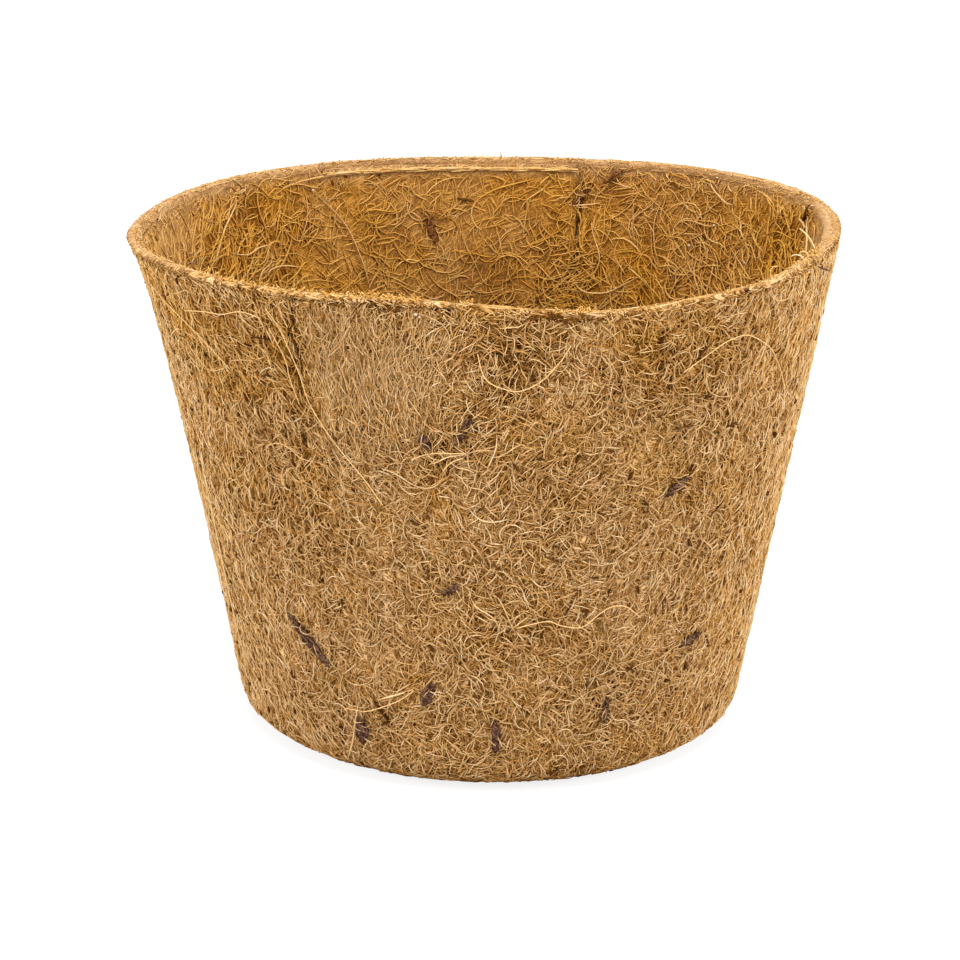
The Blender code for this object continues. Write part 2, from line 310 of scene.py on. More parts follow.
@dataclass(frozen=True)
class Spot:
    """A soft-edged area of a face, its reach in degrees and millimetres, and what it adds.

    It may be more open, warmer, have more upright strands, or be pressed bare of loose strands.
    """

    azimuth: float
    height: float
    reach: tuple[float, float]
    open: float = 0.0
    warm: float = 0.0
    upright: float = 0.0
    bare: float = 0.0


class Mottle:
    """How open, warm, upright in its strands and bare the felt is over one face of the wall, from 0 to 1."""

    WAVES = 48
    MOST_AROUND = 40  # each wave goes round the pot fewer times than this
    UPWARD = 70  # waves to a metre of height, as a spread
    A_METRE = 3  # waves to a metre, for each wave round the pot
    BROAD = 40  # waves to a metre, past which a wave counts for less than half
    SWINGS = (0.13, 0.13, 0.16, 0.0)  # how far the waves take each of the four values from its mean

    def __init__(self, seed: int, spots: tuple[Spot, ...], means: tuple[float, float, float, float]) -> None:
        """Draws the soft waves that the spots are added to.

        Args:
            seed: Seed of the waves.
            spots: The areas that stand out in the photograph.
            means: Usual openness, warmth, uprightness and bareness.
        """
        rng = np.random.default_rng(seed)
        self.around = rng.integers(1, self.MOST_AROUND, self.WAVES)
        self.up = rng.normal(0, self.UPWARD, self.WAVES)
        self.phase = rng.uniform(0, math.tau, (4, self.WAVES))
        share = 1 / (1 + np.hypot(self.around * self.A_METRE, self.up) / self.BROAD)
        self.share = share / math.sqrt(np.sum(share**2) / 2)
        self.spots = spots
        self.means = means

    def values(self, turn: Array, height: Array) -> list[Array]:
        """Openness, warmth, uprightness and bareness at places on the face.

        Args:
            turn: Azimuths in radians.
            height: Heights in metres.

        Returns:
            The four values, from 0 to 1.
        """
        angle = turn[..., None] * self.around + math.tau * height[..., None] * self.up
        made = []
        for kind, (mean, swing) in enumerate(zip(self.means, self.SWINGS)):
            made.append(mean + swing * np.sin(angle + self.phase[kind]) @ self.share)
        for spot in self.spots:
            away = np.degrees(apart(turn, spot.azimuth)) / spot.reach[0]
            above = (height / MM - spot.height) / spot.reach[1]
            weight = np.exp(-((away**2 + above**2) ** 1.5))
            for kind, gain in enumerate((spot.open, spot.warm, spot.upright, spot.bare)):
                made[kind] = made[kind] + gain * weight
        return [np.clip(values, 0, 1) for values in made]


OUTER_SPOTS = (
    Spot(249, 77.5, (12, 12), -0.4, -0.1, 0.5),
    Spot(207, 45, (26, 60), 0, 0, 0.15),
    Spot(328, 45, (20, 60), 0, 0, 0.1),
    Spot(226.6, 73.8, (9.4, 9.3), 0.3, 0.22),
    Spot(207.8, 75.7, (13.1, 11.1), 0.05, 0.35),
    Spot(230.5, 47.6, (11.3, 11.7), 0.3, 0.1),
    # drawn open, and so darker, along the outer lap's edge: painted shade of the edge
    Spot(235, 79, (4.2, 8), 0.6, 0.35),
    Spot(250.5, 63.2, (10.6, 10.8), -0.2, 0),
    Spot(274.5, 78.4, (7, 6.1), 0.55, 0),
    Spot(302, 79.5, (12.5, 8), 0.45, 0.35),
    Spot(305.3, 54.7, (13.4, 5.7), 0.3, 0.1),
    Spot(217.1, 29.5, (12.9, 12.9), -0.3, -0.2),
    Spot(299.8, 35.3, (15.9, 11.7), -0.3, -0.25),
    Spot(236.1, 24.4, (13.9, 7.9), -0.3, -0.1),
    Spot(275.4, 44.7, (15, 7.4), 0, -0.15),
    Spot(296, 58, (9, 9), -0.55, 0),
    Spot(249, 46, (10, 20), -0.4, 0),
    Spot(260, 63, (4, 3.5), 0.65, 0),
    Spot(240, 66, (3, 6), 0.25, 0.1),
    Spot(269, 72, (5, 5), 0.35, 0),
    Spot(328, 18, (18, 9), -0.4, 0),
    Spot(201, 9, (7, 9), -0.45, 0),
    Spot(286, 78, (6, 7), -0.4, 0),
    Spot(343, 40, (6, 12), -0.3, 0),
    Spot(308.6, 47.5, (5, 4), -0.35, 0),
    Spot(263, 53, (7, 5), -0.4, 0),
    Spot(226, 84.5, (6, 3.5), 0.35, 0.1),
    Spot(281, 87, (4, 3), 0.4, 0),
    Spot(229, 36.5, (5, 7), -0.35, 0),
    Spot(282, 65, (6, 4), -0.3, 0),
    Spot(308.5, 72, (3.5, 4), 0.35, 0),
    Spot(321, 62, (4, 9), -0.35, 0),
)
INNER_SPOTS = (
    Spot(99.4, 73.6, (24, 15), -0.22, -0.1, 0, 0.3),
    Spot(91, 79, (6, 5), 0.2, 0),
    Spot(105, 68, (9, 5), 0.2, 0.1),
    Spot(55, 78, (9, 8), 0.05, -0.1),
    # drawn open, and so darker, where the inner wall lies in shade: painted shade
    Spot(26, 76.5, (9, 8), 0.75, 0.2),
    Spot(55, 89, (8, 3), 0.6, 0.2),
    Spot(113.5, 77, (6, 6), 0.45, 0.05),
    Spot(91, 67.5, (6, 6), 0.5, 0.05),
    Spot(121, 73, (4.5, 6), -0.35, -0.05),
    Spot(100, 90, (75, 4), -0.25, -0.35),
    Spot(149.4, 78.5, (15.5, 10), 0.25, 0.1),
    Spot(172, 84, (18, 9), -0.3, -0.3, 0.3, 0.3),
    Spot(3, 84, (16, 9), -0.4, -0.45, 0, 0.95),
)


def ray_tree(nodes: list[str]) -> BVHTree:
    """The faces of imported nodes, for casting rays at.

    Args:
        nodes: The nodes' names.

    Returns:
        A tree of their faces.
    """
    mesh = bmesh.new()
    for node in nodes:
        mesh.from_mesh(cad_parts[node].data)
    tree = BVHTree.FromBMesh(mesh)
    mesh.free()
    return tree


class WallShape:
    """Radii of the wall's two faces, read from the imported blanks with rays.

    The rim's edges are rounded off, more at its sides than at front and back. Its top leans inward
    at the worn front, and it is rolled over inward at the right.
    """

    AZIMUTHS = 720
    SHIFTED = 0.03  # of a step round the pot, so that no ray runs along an edge of the blanks
    LEVELS = 240
    LOWEST = 0.4 * MM
    OUTSIDE = 0.1
    DOWN = Vector((0, 0, -1))
    LEDGE_WITHIN = 7 * MM
    LEDGE_JUMP = 0.5 * MM
    BRIDGED = 4
    SEAM_SHOWS = {Face.OUTER: 70 * MM, Face.INNER: 80 * MM}
    SEAM_DEPTH = 0.35 * MM
    BRIDGED_TO = {Face.OUTER: 1.0, Face.INNER: 84 * MM}
    SLOPE = 0.185
    ROUND = (0.28 * MM, 0.40 * MM)
    LEAN = 0.75 * MM
    FRONT_REACH = 1.25
    ROLL = 0.9 * MM
    ROLL_AZIMUTH = 6.0
    ROLL_REACH = 15.0
    ROLL_DEPTH = 3.5 * MM

    def __init__(self, nodes: list[str]) -> None:
        """Casts rays at the blanks from outside and from the axis.

        Args:
            nodes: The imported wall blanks' names.
        """
        tree = ray_tree(nodes)
        self.low = self.LOWEST
        self.high = max(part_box(node)[1].z for node in nodes)
        self.turns = (np.arange(self.AZIMUTHS) + self.SHIFTED) * math.tau / self.AZIMUTHS
        self.levels = np.linspace(self.low, self.high, self.LEVELS)
        self.grid = {face: np.full((self.AZIMUTHS, self.LEVELS), np.nan) for face in Face}
        self.top = {face: np.full(self.AZIMUTHS, self.high) for face in Face}
        for i, turn in enumerate(self.turns):
            out = Vector((math.cos(turn), math.sin(turn), 0.0))
            for k, level in enumerate(self.levels):
                far = tree.ray_cast(out * self.OUTSIDE + Vector((0, 0, level)), -out)[0]
                near = tree.ray_cast(Vector((0, 0, level)), out)[0]
                if far is not None and near is not None:
                    self.grid[Face.OUTER][i, k] = far.xy.length
                    self.grid[Face.INNER][i, k] = near.xy.length
            for face, grid in self.grid.items():
                known = ~np.isnan(grid[i])
                grid[i] = np.interp(self.levels, self.levels[known], grid[i, known])
                edge = out * (grid[i, -1] - 0.5 * face.value * MM) + Vector((0, 0, self.OUTSIDE))
                hit = tree.ray_cast(edge, self.DOWN)[0]
                if hit is not None:
                    self.top[face][i] = hit.z
        self.ledge = self.find_ledge(tree)
        self.bridge()

    def find_ledge(self, tree: BVHTree) -> Array:
        """Heights of the step where the inner ply ends under the rim, not a number where there is none.

        Args:
            tree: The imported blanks.

        Returns:
            One height for each azimuth.
        """
        heights = np.full(self.AZIMUTHS, np.nan)
        inner = self.grid[Face.INNER]
        for i, turn in enumerate(self.turns):
            upper = self.levels[:-1] > self.high - self.LEDGE_WITHIN
            jumps = np.nonzero((np.diff(inner[i]) > self.LEDGE_JUMP) & upper)[0]
            if jumps.size:
                reach = inner[i, jumps[-1]] + 0.4 * MM
                over = self.levels[jumps[-1]] + 1 * MM
                start = Vector((reach * math.cos(turn), reach * math.sin(turn), over))
                hit = tree.ray_cast(start, self.DOWN, 3 * MM)[0]
                if hit is not None:
                    heights[i] = hit.z
        return heights

    def column(self, turn: Array) -> Array:
        """Columns of the grid at azimuths in radians."""
        return (turn / math.tau % 1.0 * self.AZIMUTHS).astype(int) % self.AZIMUTHS

    def step(self, turn: Array) -> Array:
        """The inner ply's top under the rim at azimuths in radians, not a number where there is none."""
        return self.ledge[self.column(turn)]

    def front(self, turn: Array) -> Array:
        """How near azimuths in radians are to the rim's worn front, 0 to 1."""
        return np.exp(-((apart(turn, WORN_FRONT) / self.FRONT_REACH) ** 4))

    def bridge(self) -> None:
        """Lets the faces run over the narrow grooves between the plies, so that strands cross them."""
        reach = range(-self.BRIDGED, self.BRIDGED + 1)
        for face, grid in self.grid.items():
            flare = self.SLOPE * self.levels
            flat = (grid - flare) * face.value
            around = np.stack([np.roll(flat, k, 0) for k in reach]).max(0)
            padded = np.pad(flat, ((0, 0), (2, 2)), mode="edge")
            upward = np.stack([padded[:, k : k + self.LEVELS] for k in range(5)]).max(0)
            level = np.maximum(around, upward) if face is Face.OUTER else around
            level = np.where((self.levels > 3 * MM) & (self.levels < self.BRIDGED_TO[face]), level, flat)
            sunk = np.where(self.levels > self.SEAM_SHOWS[face], self.SEAM_DEPTH, 0.0)
            self.grid[face] = np.maximum(flat, level - sunk) * face.value + flare

    def drop(self, turn: Array, across: Array) -> Array:
        """How far the worn rim lies below a flat cut.

        Args:
            turn: Azimuths in radians.
            across: Share of the way from the inner edge to the outer.

        Returns:
            Metres below the cut.
        """
        across = np.clip(across, 0, 1)
        rounded = self.ROUND[0] + self.ROUND[1] * np.cos(turn) ** 2
        return rounded * np.abs(2 * across - 1) ** 3 + self.LEAN * self.front(turn) * (1 - across) ** 1.3

    def roll(self, turn: Array, below: Array) -> Array:
        """How far the inner face bulges inward at the right, where the rim is rolled over.

        Args:
            turn: Azimuths in radians.
            below: Depths under the rim.

        Returns:
            Metres inward.
        """
        away = np.degrees(apart(turn, self.ROLL_AZIMUTH)) / self.ROLL_REACH
        return self.ROLL * np.exp(-(away**4) - (np.maximum(below, 0) / self.ROLL_DEPTH) ** 2)

    def radius(self, face: Face, turn: Array, height: Array) -> Array:
        """The face's radius at places on it, by interpolation.

        Args:
            face: The outer or the inner face.
            turn: Azimuths in radians.
            height: Heights in metres.

        Returns:
            The radii.
        """
        grid = self.grid[face]
        a = (turn / math.tau % 1.0) * self.AZIMUTHS
        b = np.clip((height - self.low) / (self.high - self.low), 0, 1) * (self.LEVELS - 1)
        i, k = self.column(turn), np.minimum(b.astype(int), self.LEVELS - 2)
        u, v = a - np.floor(a), b - k
        j = (i + 1) % self.AZIMUTHS
        low = grid[i, k] * (1 - u) + grid[j, k] * u
        high = grid[i, k + 1] * (1 - u) + grid[j, k + 1] * u
        return low * (1 - v) + high * v

    def rim(self, face: Face, turn: Array) -> Array:
        """The height of a face's top edge at azimuths in radians."""
        edge, outer = (self.top[side][self.column(turn)] for side in (face, Face.OUTER))
        worn = self.drop(turn, np.full(np.shape(turn), 0.5 + face.value / 2))
        return edge - np.where(edge > outer - 1.0 * MM, worn, 0)


@dataclass(frozen=True)
class StrandStyle:
    """How one layer of coir strands lies: sizes in millimetres, bends in radians per mm.

    Aligned is an angle and a spread in degrees, and the share of the strands that keep to it.
    """

    density: float
    length: tuple[float, float]
    thickness: tuple[float, float]
    lift: tuple[float, float]
    tone: tuple[float, float]
    bend: float = 0.08
    curl: float = 0.3
    aligned: tuple[float, float, float] = (90.0, 22.0, 0.35)
    steps: int = 4
    loose: float = 0.0
    azimuths: tuple[float, float] = (0.0, 360.0)
    below_rim: tuple[float, float] | None = None
    dive: float = 0.40
    dives: float = 0.9
    weave: float = 0.09
    taper: float = 0.55


@dataclass(frozen=True)
class Route:
    """A single strand of the photograph: millimetres thick, tone, and places as azimuth and height in mm."""

    thick: float
    tone: float
    points: tuple[tuple[float, float], ...]
    lift: float = 0.15
    warm: float = 0.2


@dataclass(frozen=True)
class Strands:
    """Centre lines, normals, radii, tones and warmth of many strands, one row to a strand."""

    paths: Array
    normals: Array
    radii: Array
    tones: Array
    warmth: Array

    def pick(self, chosen: Array) -> "Strands":
        """The strands for which chosen is true."""
        return Strands(*(values[chosen] for values in vars(self).values()))

    def azimuths(self) -> Array:
        """Where each strand starts round the pot, in radians from 0."""
        return np.arctan2(self.paths[:, 0, 1], self.paths[:, 0, 0]) % math.tau


@dataclass
class WallFibres:
    """The strands matted on one face of the wall, in layers from the deep felt outward.

    Each strand walks along the felt from its start, turning as it goes. It ends at foot and rim,
    and often at the edge of the lap, whose seam is an azimuth in degrees and starts at a height.
    """

    shape: WallShape
    face: Face
    mottle: Mottle
    rng: np.random.Generator
    seam: float
    seam_from: float
    layers: tuple[StrandStyle, ...]
    routes: tuple[Route, ...]
    flakes: tuple[str, ...]
    shade: float
    seam_stops: float = 0.5
    sectors: int = 6
    foot: float = 0.7 * MM
    rim_clear: float = 0.25 * MM
    step_clear: float = 0.25 * MM
    shortest: float = 1.0 * MM
    hair_scatter: float = 1.7 * MM
    traced_points: int = 15
    sharpest: float = 0.5  # radians that a strand may turn in a step
    open_lift: float = 0.12 * MM
    open_tone: float = 0.12
    foot_shade: float = 0.25
    foot_shaded: float = 2.8 * MM
    middle_tone: float = 0.58
    dark_warmth: float = 1.2
    palest: float = 0.9

    def build(self, finish: Material) -> None:
        """Lays the layers and cuts them into sectors round the pot.

        Args:
            finish: The strands' material.
        """
        groups = [self.lay(style) for style in self.layers] + [self.traced()]
        groups.append(self.over(HAIR, 10))
        for i in range(self.sectors):
            parts = [g.pick((g.azimuths() * self.sectors // math.tau).astype(int) == i) for g in groups]
            name = f"{self.face.name.lower()}_fibres_{i + 1}"
            mount(strand_mesh(name, parts, finish), "loose_coir")

    def reach(self, turns: Array, heights: Array) -> Array:
        """Radius of the face at places on it, with the rolled rim inside."""
        radius = self.shape.radius(self.face, turns, heights)
        if self.face is Face.INNER:
            radius = radius - self.shape.roll(turns, self.shape.rim(Face.OUTER, turns) - heights)
        return radius

    def walk(
        self, turn: Array, height: Array, heading: Array, step: Array, bends: Array
    ) -> tuple[Array, Array]:
        """Follows the felt from a start in steps, turning a little at each.

        Args:
            turn: Start azimuths in radians.
            height: Start heights.
            heading: Start directions, in radians from level.
            step: Length of a step of each strand.
            bends: Radians per metre at each step, one column to a step.

        Returns:
            Azimuths and heights, one column to a point.
        """
        turns, heights = [turn], [height]
        for k in range(bends.shape[1]):
            radius = self.shape.radius(self.face, turns[-1], heights[-1])
            above = self.shape.radius(self.face, turns[-1], heights[-1] + 0.5 * MM)
            slope = np.clip((above - radius) / (0.5 * MM), 0, 3)
            turns.append(turns[-1] + step * np.cos(heading) / radius)
            heights.append(heights[-1] + step * np.sin(heading) / np.sqrt(1 + slope**2))
            heading = heading + bends[:, k] * step
        return np.stack(turns, 1), np.stack(heights, 1)

    def inside_share(self, turns: Array, heights: Array, stopped: Array) -> Array:
        """How much of each walk stays between foot and rim, and on its side of the seam.

        Args:
            turns: Azimuths, one column to a point.
            heights: Heights.
            stopped: Whether each strand ends at the seam.

        Returns:
            Shares from 0 to 1.
        """
        out = (heights < self.foot) | (heights > self.shape.rim(self.face, turns) - self.rim_clear)
        away = apart(turns, self.seam)
        crossed = (np.sign(away) != np.sign(away[:, :1])) & (np.abs(away) < 1) & (heights > self.seam_from)
        out |= crossed & stopped[:, None]
        if self.face is Face.INNER:
            over = heights - self.shape.step(turns)
            out |= (np.abs(over) < self.step_clear) | (over * over[:, :1] < 0)
        first = np.where(out.any(1), out.argmax(1), out.shape[1])
        return np.clip((first - 1) / (out.shape[1] - 1), 0, 1)

    def lay(self, style: StrandStyle) -> Strands:
        """Lays one layer all over the face.

        Args:
            style: The layer's sizes, bends and tones.

        Returns:
            The strands of the layer.
        """
        rng = self.rng
        widest = self.shape.grid[self.face].max()
        first, last = np.radians(style.azimuths)
        band = self.shape.high - self.foot
        if style.below_rim:
            band = (style.below_rim[1] - style.below_rim[0]) * MM
        count = int(style.density * (last - first) * widest * band / MM**2)
        turn = rng.uniform(first, last, count)
        height = rng.uniform(self.foot, self.shape.high, count)
        if style.below_rim:
            height = self.shape.rim(self.face, turn) - rng.uniform(*style.below_rim, count) * MM
        kept = rng.uniform(0, widest, count) < self.shape.radius(self.face, turn, height)
        opened, _, _, bare = self.mottle.values(turn, height)
        kept &= rng.uniform(size=count) < (1 - style.loose * (1 - opened)) * (1 - bare)
        return self.grow(style, turn[kept], height[kept])

    def over(self, style: StrandStyle, each: int) -> Strands:
        """Lays a few strands over each husk flake of the face.

        Args:
            style: The strands' sizes, bends and tones.
            each: How many strands to a flake.

        Returns:
            The strands.
        """
        middles = [sum(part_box(node), Vector()) / 2 for node in self.flakes]
        places = np.array([(math.atan2(m.y, m.x), m.z) for m in middles])
        turn, height = np.repeat(places, each, axis=0).T
        spread = self.rng.normal(0, self.hair_scatter, (2, turn.size))
        return self.grow(style, turn + spread[0] / AROUND / MM, np.maximum(height + spread[1], 2 * MM))

    def grow(self, style: StrandStyle, turn: Array, height: Array) -> Strands:
        """Grows one strand from each start.

        Args:
            style: The strands' sizes, bends and tones.
            turn: Start azimuths in radians.
            height: Start heights.

        Returns:
            The strands, but for those cut too short by foot, rim or seam.
        """
        rng, count = self.rng, turn.size
        upright = self.mottle.values(turn, height)[2]
        heading = rng.uniform(0, math.tau, count)
        angle, spread, share = style.aligned
        lean = np.radians(rng.normal(angle, spread, count)) + math.pi * rng.integers(0, 2, count)
        lean = lean + 0.4 * np.sin(5 * turn + 90 * height) * (share < 1)  # sways slowly over the wall
        heading = np.where(rng.uniform(size=count) < share + upright - 0.5, lean, heading)
        length = rng.uniform(*style.length, count) * MM
        base = rng.laplace(0, style.bend, count)
        swing = rng.normal(0, style.curl, count)
        phase = rng.uniform(0, math.tau, count)
        waves = rng.uniform(0.4, 1.3, count)
        along = np.arange(style.steps) / style.steps
        wave = np.sin(math.tau * waves[:, None] * along + phase[:, None])
        bends = (base[:, None] + swing[:, None] * wave) / MM
        bends *= np.clip(1.7 - 1.4 * upright, 0.3, 1.3)[:, None]  # straighter where they are upright
        pace = length[:, None] / style.steps
        bends = np.clip(bends * pace, -self.sharpest, self.sharpest) / pace
        turns, heights = self.walk(turn, height, heading, length / style.steps, bends)
        share = self.inside_share(turns, heights, rng.uniform(size=count) < self.seam_stops)
        lasting = share * length > self.shortest
        turns, heights = self.walk(turn, height, heading, share * length / style.steps, bends)
        return self.shaped(turns[lasting], heights[lasting], style)

    def traced(self) -> Strands:
        """Lays the single strands whose routes are seen in the photograph."""
        lines = np.stack([smooth_line(route.points, self.traced_points) for route in self.routes])
        turns, heights = np.radians(lines[..., 0]), lines[..., 1] * MM
        s = np.linspace(0, 1, self.traced_points)
        known = [(route.lift, route.thick, route.tone, route.warm) for route in self.routes]
        lift, thick, tone, warm = np.array(known).T[..., None]
        dipped = lift - 0.25 * np.abs(2 * s - 1) ** 6
        radius = self.reach(turns, heights) + self.face.value * dipped * MM
        normals = self.face.value * on_ring(turns, 1.0, 0 * turns)
        radii = thick / 2 * MM * (1 - 0.8 * np.abs(2 * s - 1) ** 3)
        return Strands(on_ring(turns, radius, heights), normals, radii, tone, warm)

    def shaped(self, turns: Array, heights: Array, style: StrandStyle) -> Strands:
        """Gives walks their lift off the felt, thickness, tone and warmth.

        Args:
            turns: Azimuths of the points.
            heights: Heights of the points.
            style: The layer's sizes.

        Returns:
            The strands.
        """
        rng, count = self.rng, len(turns)
        middle = turns.shape[1] // 2
        known = self.mottle.values(turns[:, middle], heights[:, middle])
        opened, warm = known[0][:, None], known[1][:, None]
        s = np.linspace(0, 1, style.steps + 1)
        lift = rng.uniform(*style.lift, count)[:, None] * MM
        start, end = rng.uniform(size=(2, count, 1)) < style.dives
        fall = style.dive * MM * (start * np.clip(1 - s * 3, 0, 1) + end * np.clip(s * 3 - 2, 0, 1))
        waves = rng.uniform(0.6, 1.8, (count, 1)) * s + rng.uniform(size=(count, 1))
        off = lift + style.weave * MM * np.sin(math.tau * waves) - fall + self.open_lift * (opened - 0.4)
        radius = self.reach(turns, heights) + self.face.value * off
        normals = self.face.value * on_ring(turns, 1.0, 0 * turns)
        thick = np.exp(rng.uniform(*np.log(style.thickness), count))[:, None] * MM
        taper = 1 - style.taper * np.abs(2 * s - 1) ** 3
        # Strands are darker where the felt is open, as painted shade in its gaps, and darker where they dip
        # into it and towards the foot, as painted shade.
        tone = rng.normal(*style.tone, (count, 1)) + self.open_tone * (0.5 - opened)
        tone = tone + self.shade * (off - lift) / MM
        tone = tone - self.foot_shade * np.clip(1.5 - heights / self.foot_shaded, 0, 1)
        warm = warm + rng.normal(0, 0.10, (count, 1)) + self.dark_warmth * (self.middle_tone - tone)
        tone, warm = np.clip(tone, 0, self.palest), np.clip(warm, 0, 1)
        return Strands(on_ring(turns, radius, heights), normals, thick / 2 * taper, tone, warm)


def smooth_line(points: tuple[tuple[float, float], ...], count: int) -> Array:
    """A smooth curve that passes through all of the points.

    Args:
        points: The points.
        count: How many points the line has.

    Returns:
        The line's points.
    """
    known = np.array(points, float)
    padded = np.vstack([2 * known[0] - known[1], known, 2 * known[-1] - known[-2]])
    s = np.linspace(0, len(known) - 1, count)
    i = np.minimum(s.astype(int), len(known) - 2)
    u = (s - i)[:, None]
    a, b, c, d = (padded[i + k] for k in range(4))
    return 0.5 * (2 * b + (c - a) * u + (2 * a - 5 * b + 4 * c - d) * u**2 + (3 * b - a - 3 * c + d) * u**3)


def tube_arrays(strands: Strands, first_vertex: int, first_cell: int, cells: int) -> tuple[Array, ...]:
    """Three-sided capped tubes along the strands, as arrays.

    Args:
        strands: The strands, all with the same number of points.
        first_vertex: Number of vertices before these in the mesh.
        first_cell: Number of strands before these in the mesh.
        cells: Number of bake map cells in a row.

    Returns:
        Vertices, corner vertex numbers, face sizes, corner map places, tones and warmth.
    """
    count, points = strands.paths.shape[:2]
    along = np.gradient(strands.paths, axis=1)
    along /= np.linalg.norm(along, axis=-1, keepdims=True) + 1e-12
    side = np.cross(along, strands.normals)
    side /= np.linalg.norm(side, axis=-1, keepdims=True) + 1e-12
    rise = np.cross(side, along)
    ring = np.stack([math.cos(a) * side + math.sin(a) * rise for a in np.radians([90, 210, 330])], 2)
    verts = (strands.paths[:, :, None] + strands.radii[:, :, None, None] * ring).reshape(-1, 3)
    first = first_vertex + (np.arange(count)[:, None] * points + np.arange(points - 1)) * 3
    corners = ((0, 0), (3, 0), (3, 1), (0, 1))
    walls = [np.stack([first + a + (k + b) % 3 for a, b in corners], -1) for k in range(3)]
    quads = np.stack(walls, 2).ravel()
    start = first_vertex + np.arange(count)[:, None] * points * 3
    caps = np.concatenate([start + [0, 1, 2], start + (points - 1) * 3 + [2, 1, 0]]).ravel()
    sizes = np.repeat([4, 3], [count * (points - 1) * 3, count * 2])
    cell = first_cell + np.arange(count)
    corner = np.stack([cell % cells, cell // cells], -1)
    # In its cell of the bake map a tube lies in the middle, with a cap at each side.
    u = 0.12 + 0.76 * np.arange(points) / (points - 1)
    v = 0.08 + 0.84 * np.arange(4) / 3
    runs = range(points - 1)
    grid = np.array([[[(u[i + a // 3], v[k + b]) for a, b in corners] for k in range(3)] for i in runs])
    tips = np.array([[(0.02, 0.1), (0.09, 0.1), (0.02, 0.9)], [(0.91, 0.1), (0.98, 0.1), (0.98, 0.9)]])
    sides = (corner[:, None, None, None] + grid).reshape(-1, 2)
    ends = (corner[None, :, None] + tips[:, None]).reshape(-1, 2)
    known = [np.broadcast_to(values, (count, points)).ravel() for values in (strands.tones, strands.warmth)]
    tones, warmth = (np.repeat(values, 3) for values in known)
    return verts, np.concatenate([quads, caps]), sizes, np.concatenate([sides, ends]) / cells, tones, warmth


def placed(name: str, data: bpy.types.ID) -> Piece:
    """A new object in the scene, with its name and its mesh, camera or lamp."""
    piece = bpy.data.objects.new(name, data)
    bpy.context.scene.collection.objects.link(piece)
    return piece


def write(mesh: bpy.types.Mesh, name: str, values: Array) -> None:
    """Writes a number or a vector for each vertex of a mesh, as a named attribute."""
    kind, key = ("FLOAT", "value") if values.ndim == 1 else ("FLOAT_VECTOR", "vector")
    mesh.attributes.new(name, kind, "POINT").data.foreach_set(key, values.astype(np.float32).ravel())


def strand_mesh(name: str, groups: list[Strands], finish: Material) -> Piece:
    """Makes one mesh of many strands, with their tones and a bake map of one cell a strand.

    Thousands of strands are written as arrays, since no operator lays them along a wall.

    Args:
        name: The piece's name.
        groups: The strands, each group with its own number of points.
        finish: The strands' material.

    Returns:
        The new object.
    """
    cells = math.ceil(math.sqrt(sum(len(group.paths) for group in groups)))
    made, vertices, strands = [], 0, 0
    for group in groups:
        made.append(tube_arrays(group, vertices, strands, cells))
        vertices += len(made[-1][0])
        strands += len(group.paths)
    verts, corners, sizes, places, tones, warmth = (np.concatenate(arrays) for arrays in zip(*made))
    mesh = bpy.data.meshes.new(name)
    mesh.vertices.add(len(verts))
    mesh.vertices.foreach_set("co", verts.astype(np.float32).ravel())
    mesh.loops.add(len(corners))
    mesh.loops.foreach_set("vertex_index", corners.astype(np.int32))
    mesh.polygons.add(len(sizes))
    mesh.polygons.foreach_set("loop_start", (np.cumsum(sizes) - sizes).astype(np.int32))
    mesh.update(calc_edges=True)
    mesh.shade_smooth()
    write(mesh, "tone", tones)
    write(mesh, "warm", warmth)
    mesh.uv_layers.new(name="OFBake").data.foreach_set("uv", places.astype(np.float32).ravel())
    mesh.materials.append(finish)
    return placed(name, mesh)


def mount(piece: Piece, slot: str, *nodes: str) -> None:
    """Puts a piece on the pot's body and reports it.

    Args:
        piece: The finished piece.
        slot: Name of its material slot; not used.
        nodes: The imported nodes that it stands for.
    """
    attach(piece, BODY)
    if nodes:
        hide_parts(*nodes)
    LOG.info("%s: %d triangles", piece.name, sum(len(p.vertices) - 2 for p in piece.data.polygons))


def select(*pieces: Piece) -> None:
    """Selects some objects and no others, and makes the first active."""
    bpy.ops.object.select_all(action="DESELECT")
    for piece in reversed(pieces):
        piece.select_set(True)
        bpy.context.view_layer.objects.active = piece


def dressed_copy(node: str, name: str, cuts: int = 0) -> Piece:
    """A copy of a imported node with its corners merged, ready to be worked on.

    Args:
        node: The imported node.
        name: The copy's name.
        cuts: How many times each edge is cut.

    Returns:
        The copy.
    """
    piece = placed(name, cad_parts[node].data.copy())
    select(piece)
    bpy.ops.object.mode_set(mode="EDIT")
    bpy.ops.mesh.select_all(action="SELECT")
    bpy.ops.mesh.remove_doubles(threshold=1e-6)
    bpy.ops.mesh.normals_make_consistent(inside=False)
    if cuts:
        bpy.ops.mesh.subdivide(number_cuts=cuts)
    bpy.ops.object.mode_set(mode="OBJECT")
    piece.data.materials.clear()
    return piece


def apply_modifier(piece: Piece, kind: str, grain: float = 0.0, **settings: object) -> None:
    """Adds a modifier with its settings and applies it.

    Args:
        piece: The object to change.
        kind: Blender's name for the modifier's type.
        grain: Size of the lumps, for a displacement by soft noise.
        settings: The modifier's attributes.
    """
    modifier = piece.modifiers.new(kind.title(), kind)
    if grain:
        modifier.texture = bpy.data.textures.new(piece.name, "CLOUDS")
        modifier.texture.noise_scale = grain
        modifier.texture.noise_depth = 2
    for name, value in settings.items():
        setattr(modifier, name, value)
    select(piece)
    bpy.ops.object.modifier_apply(modifier=modifier.name)


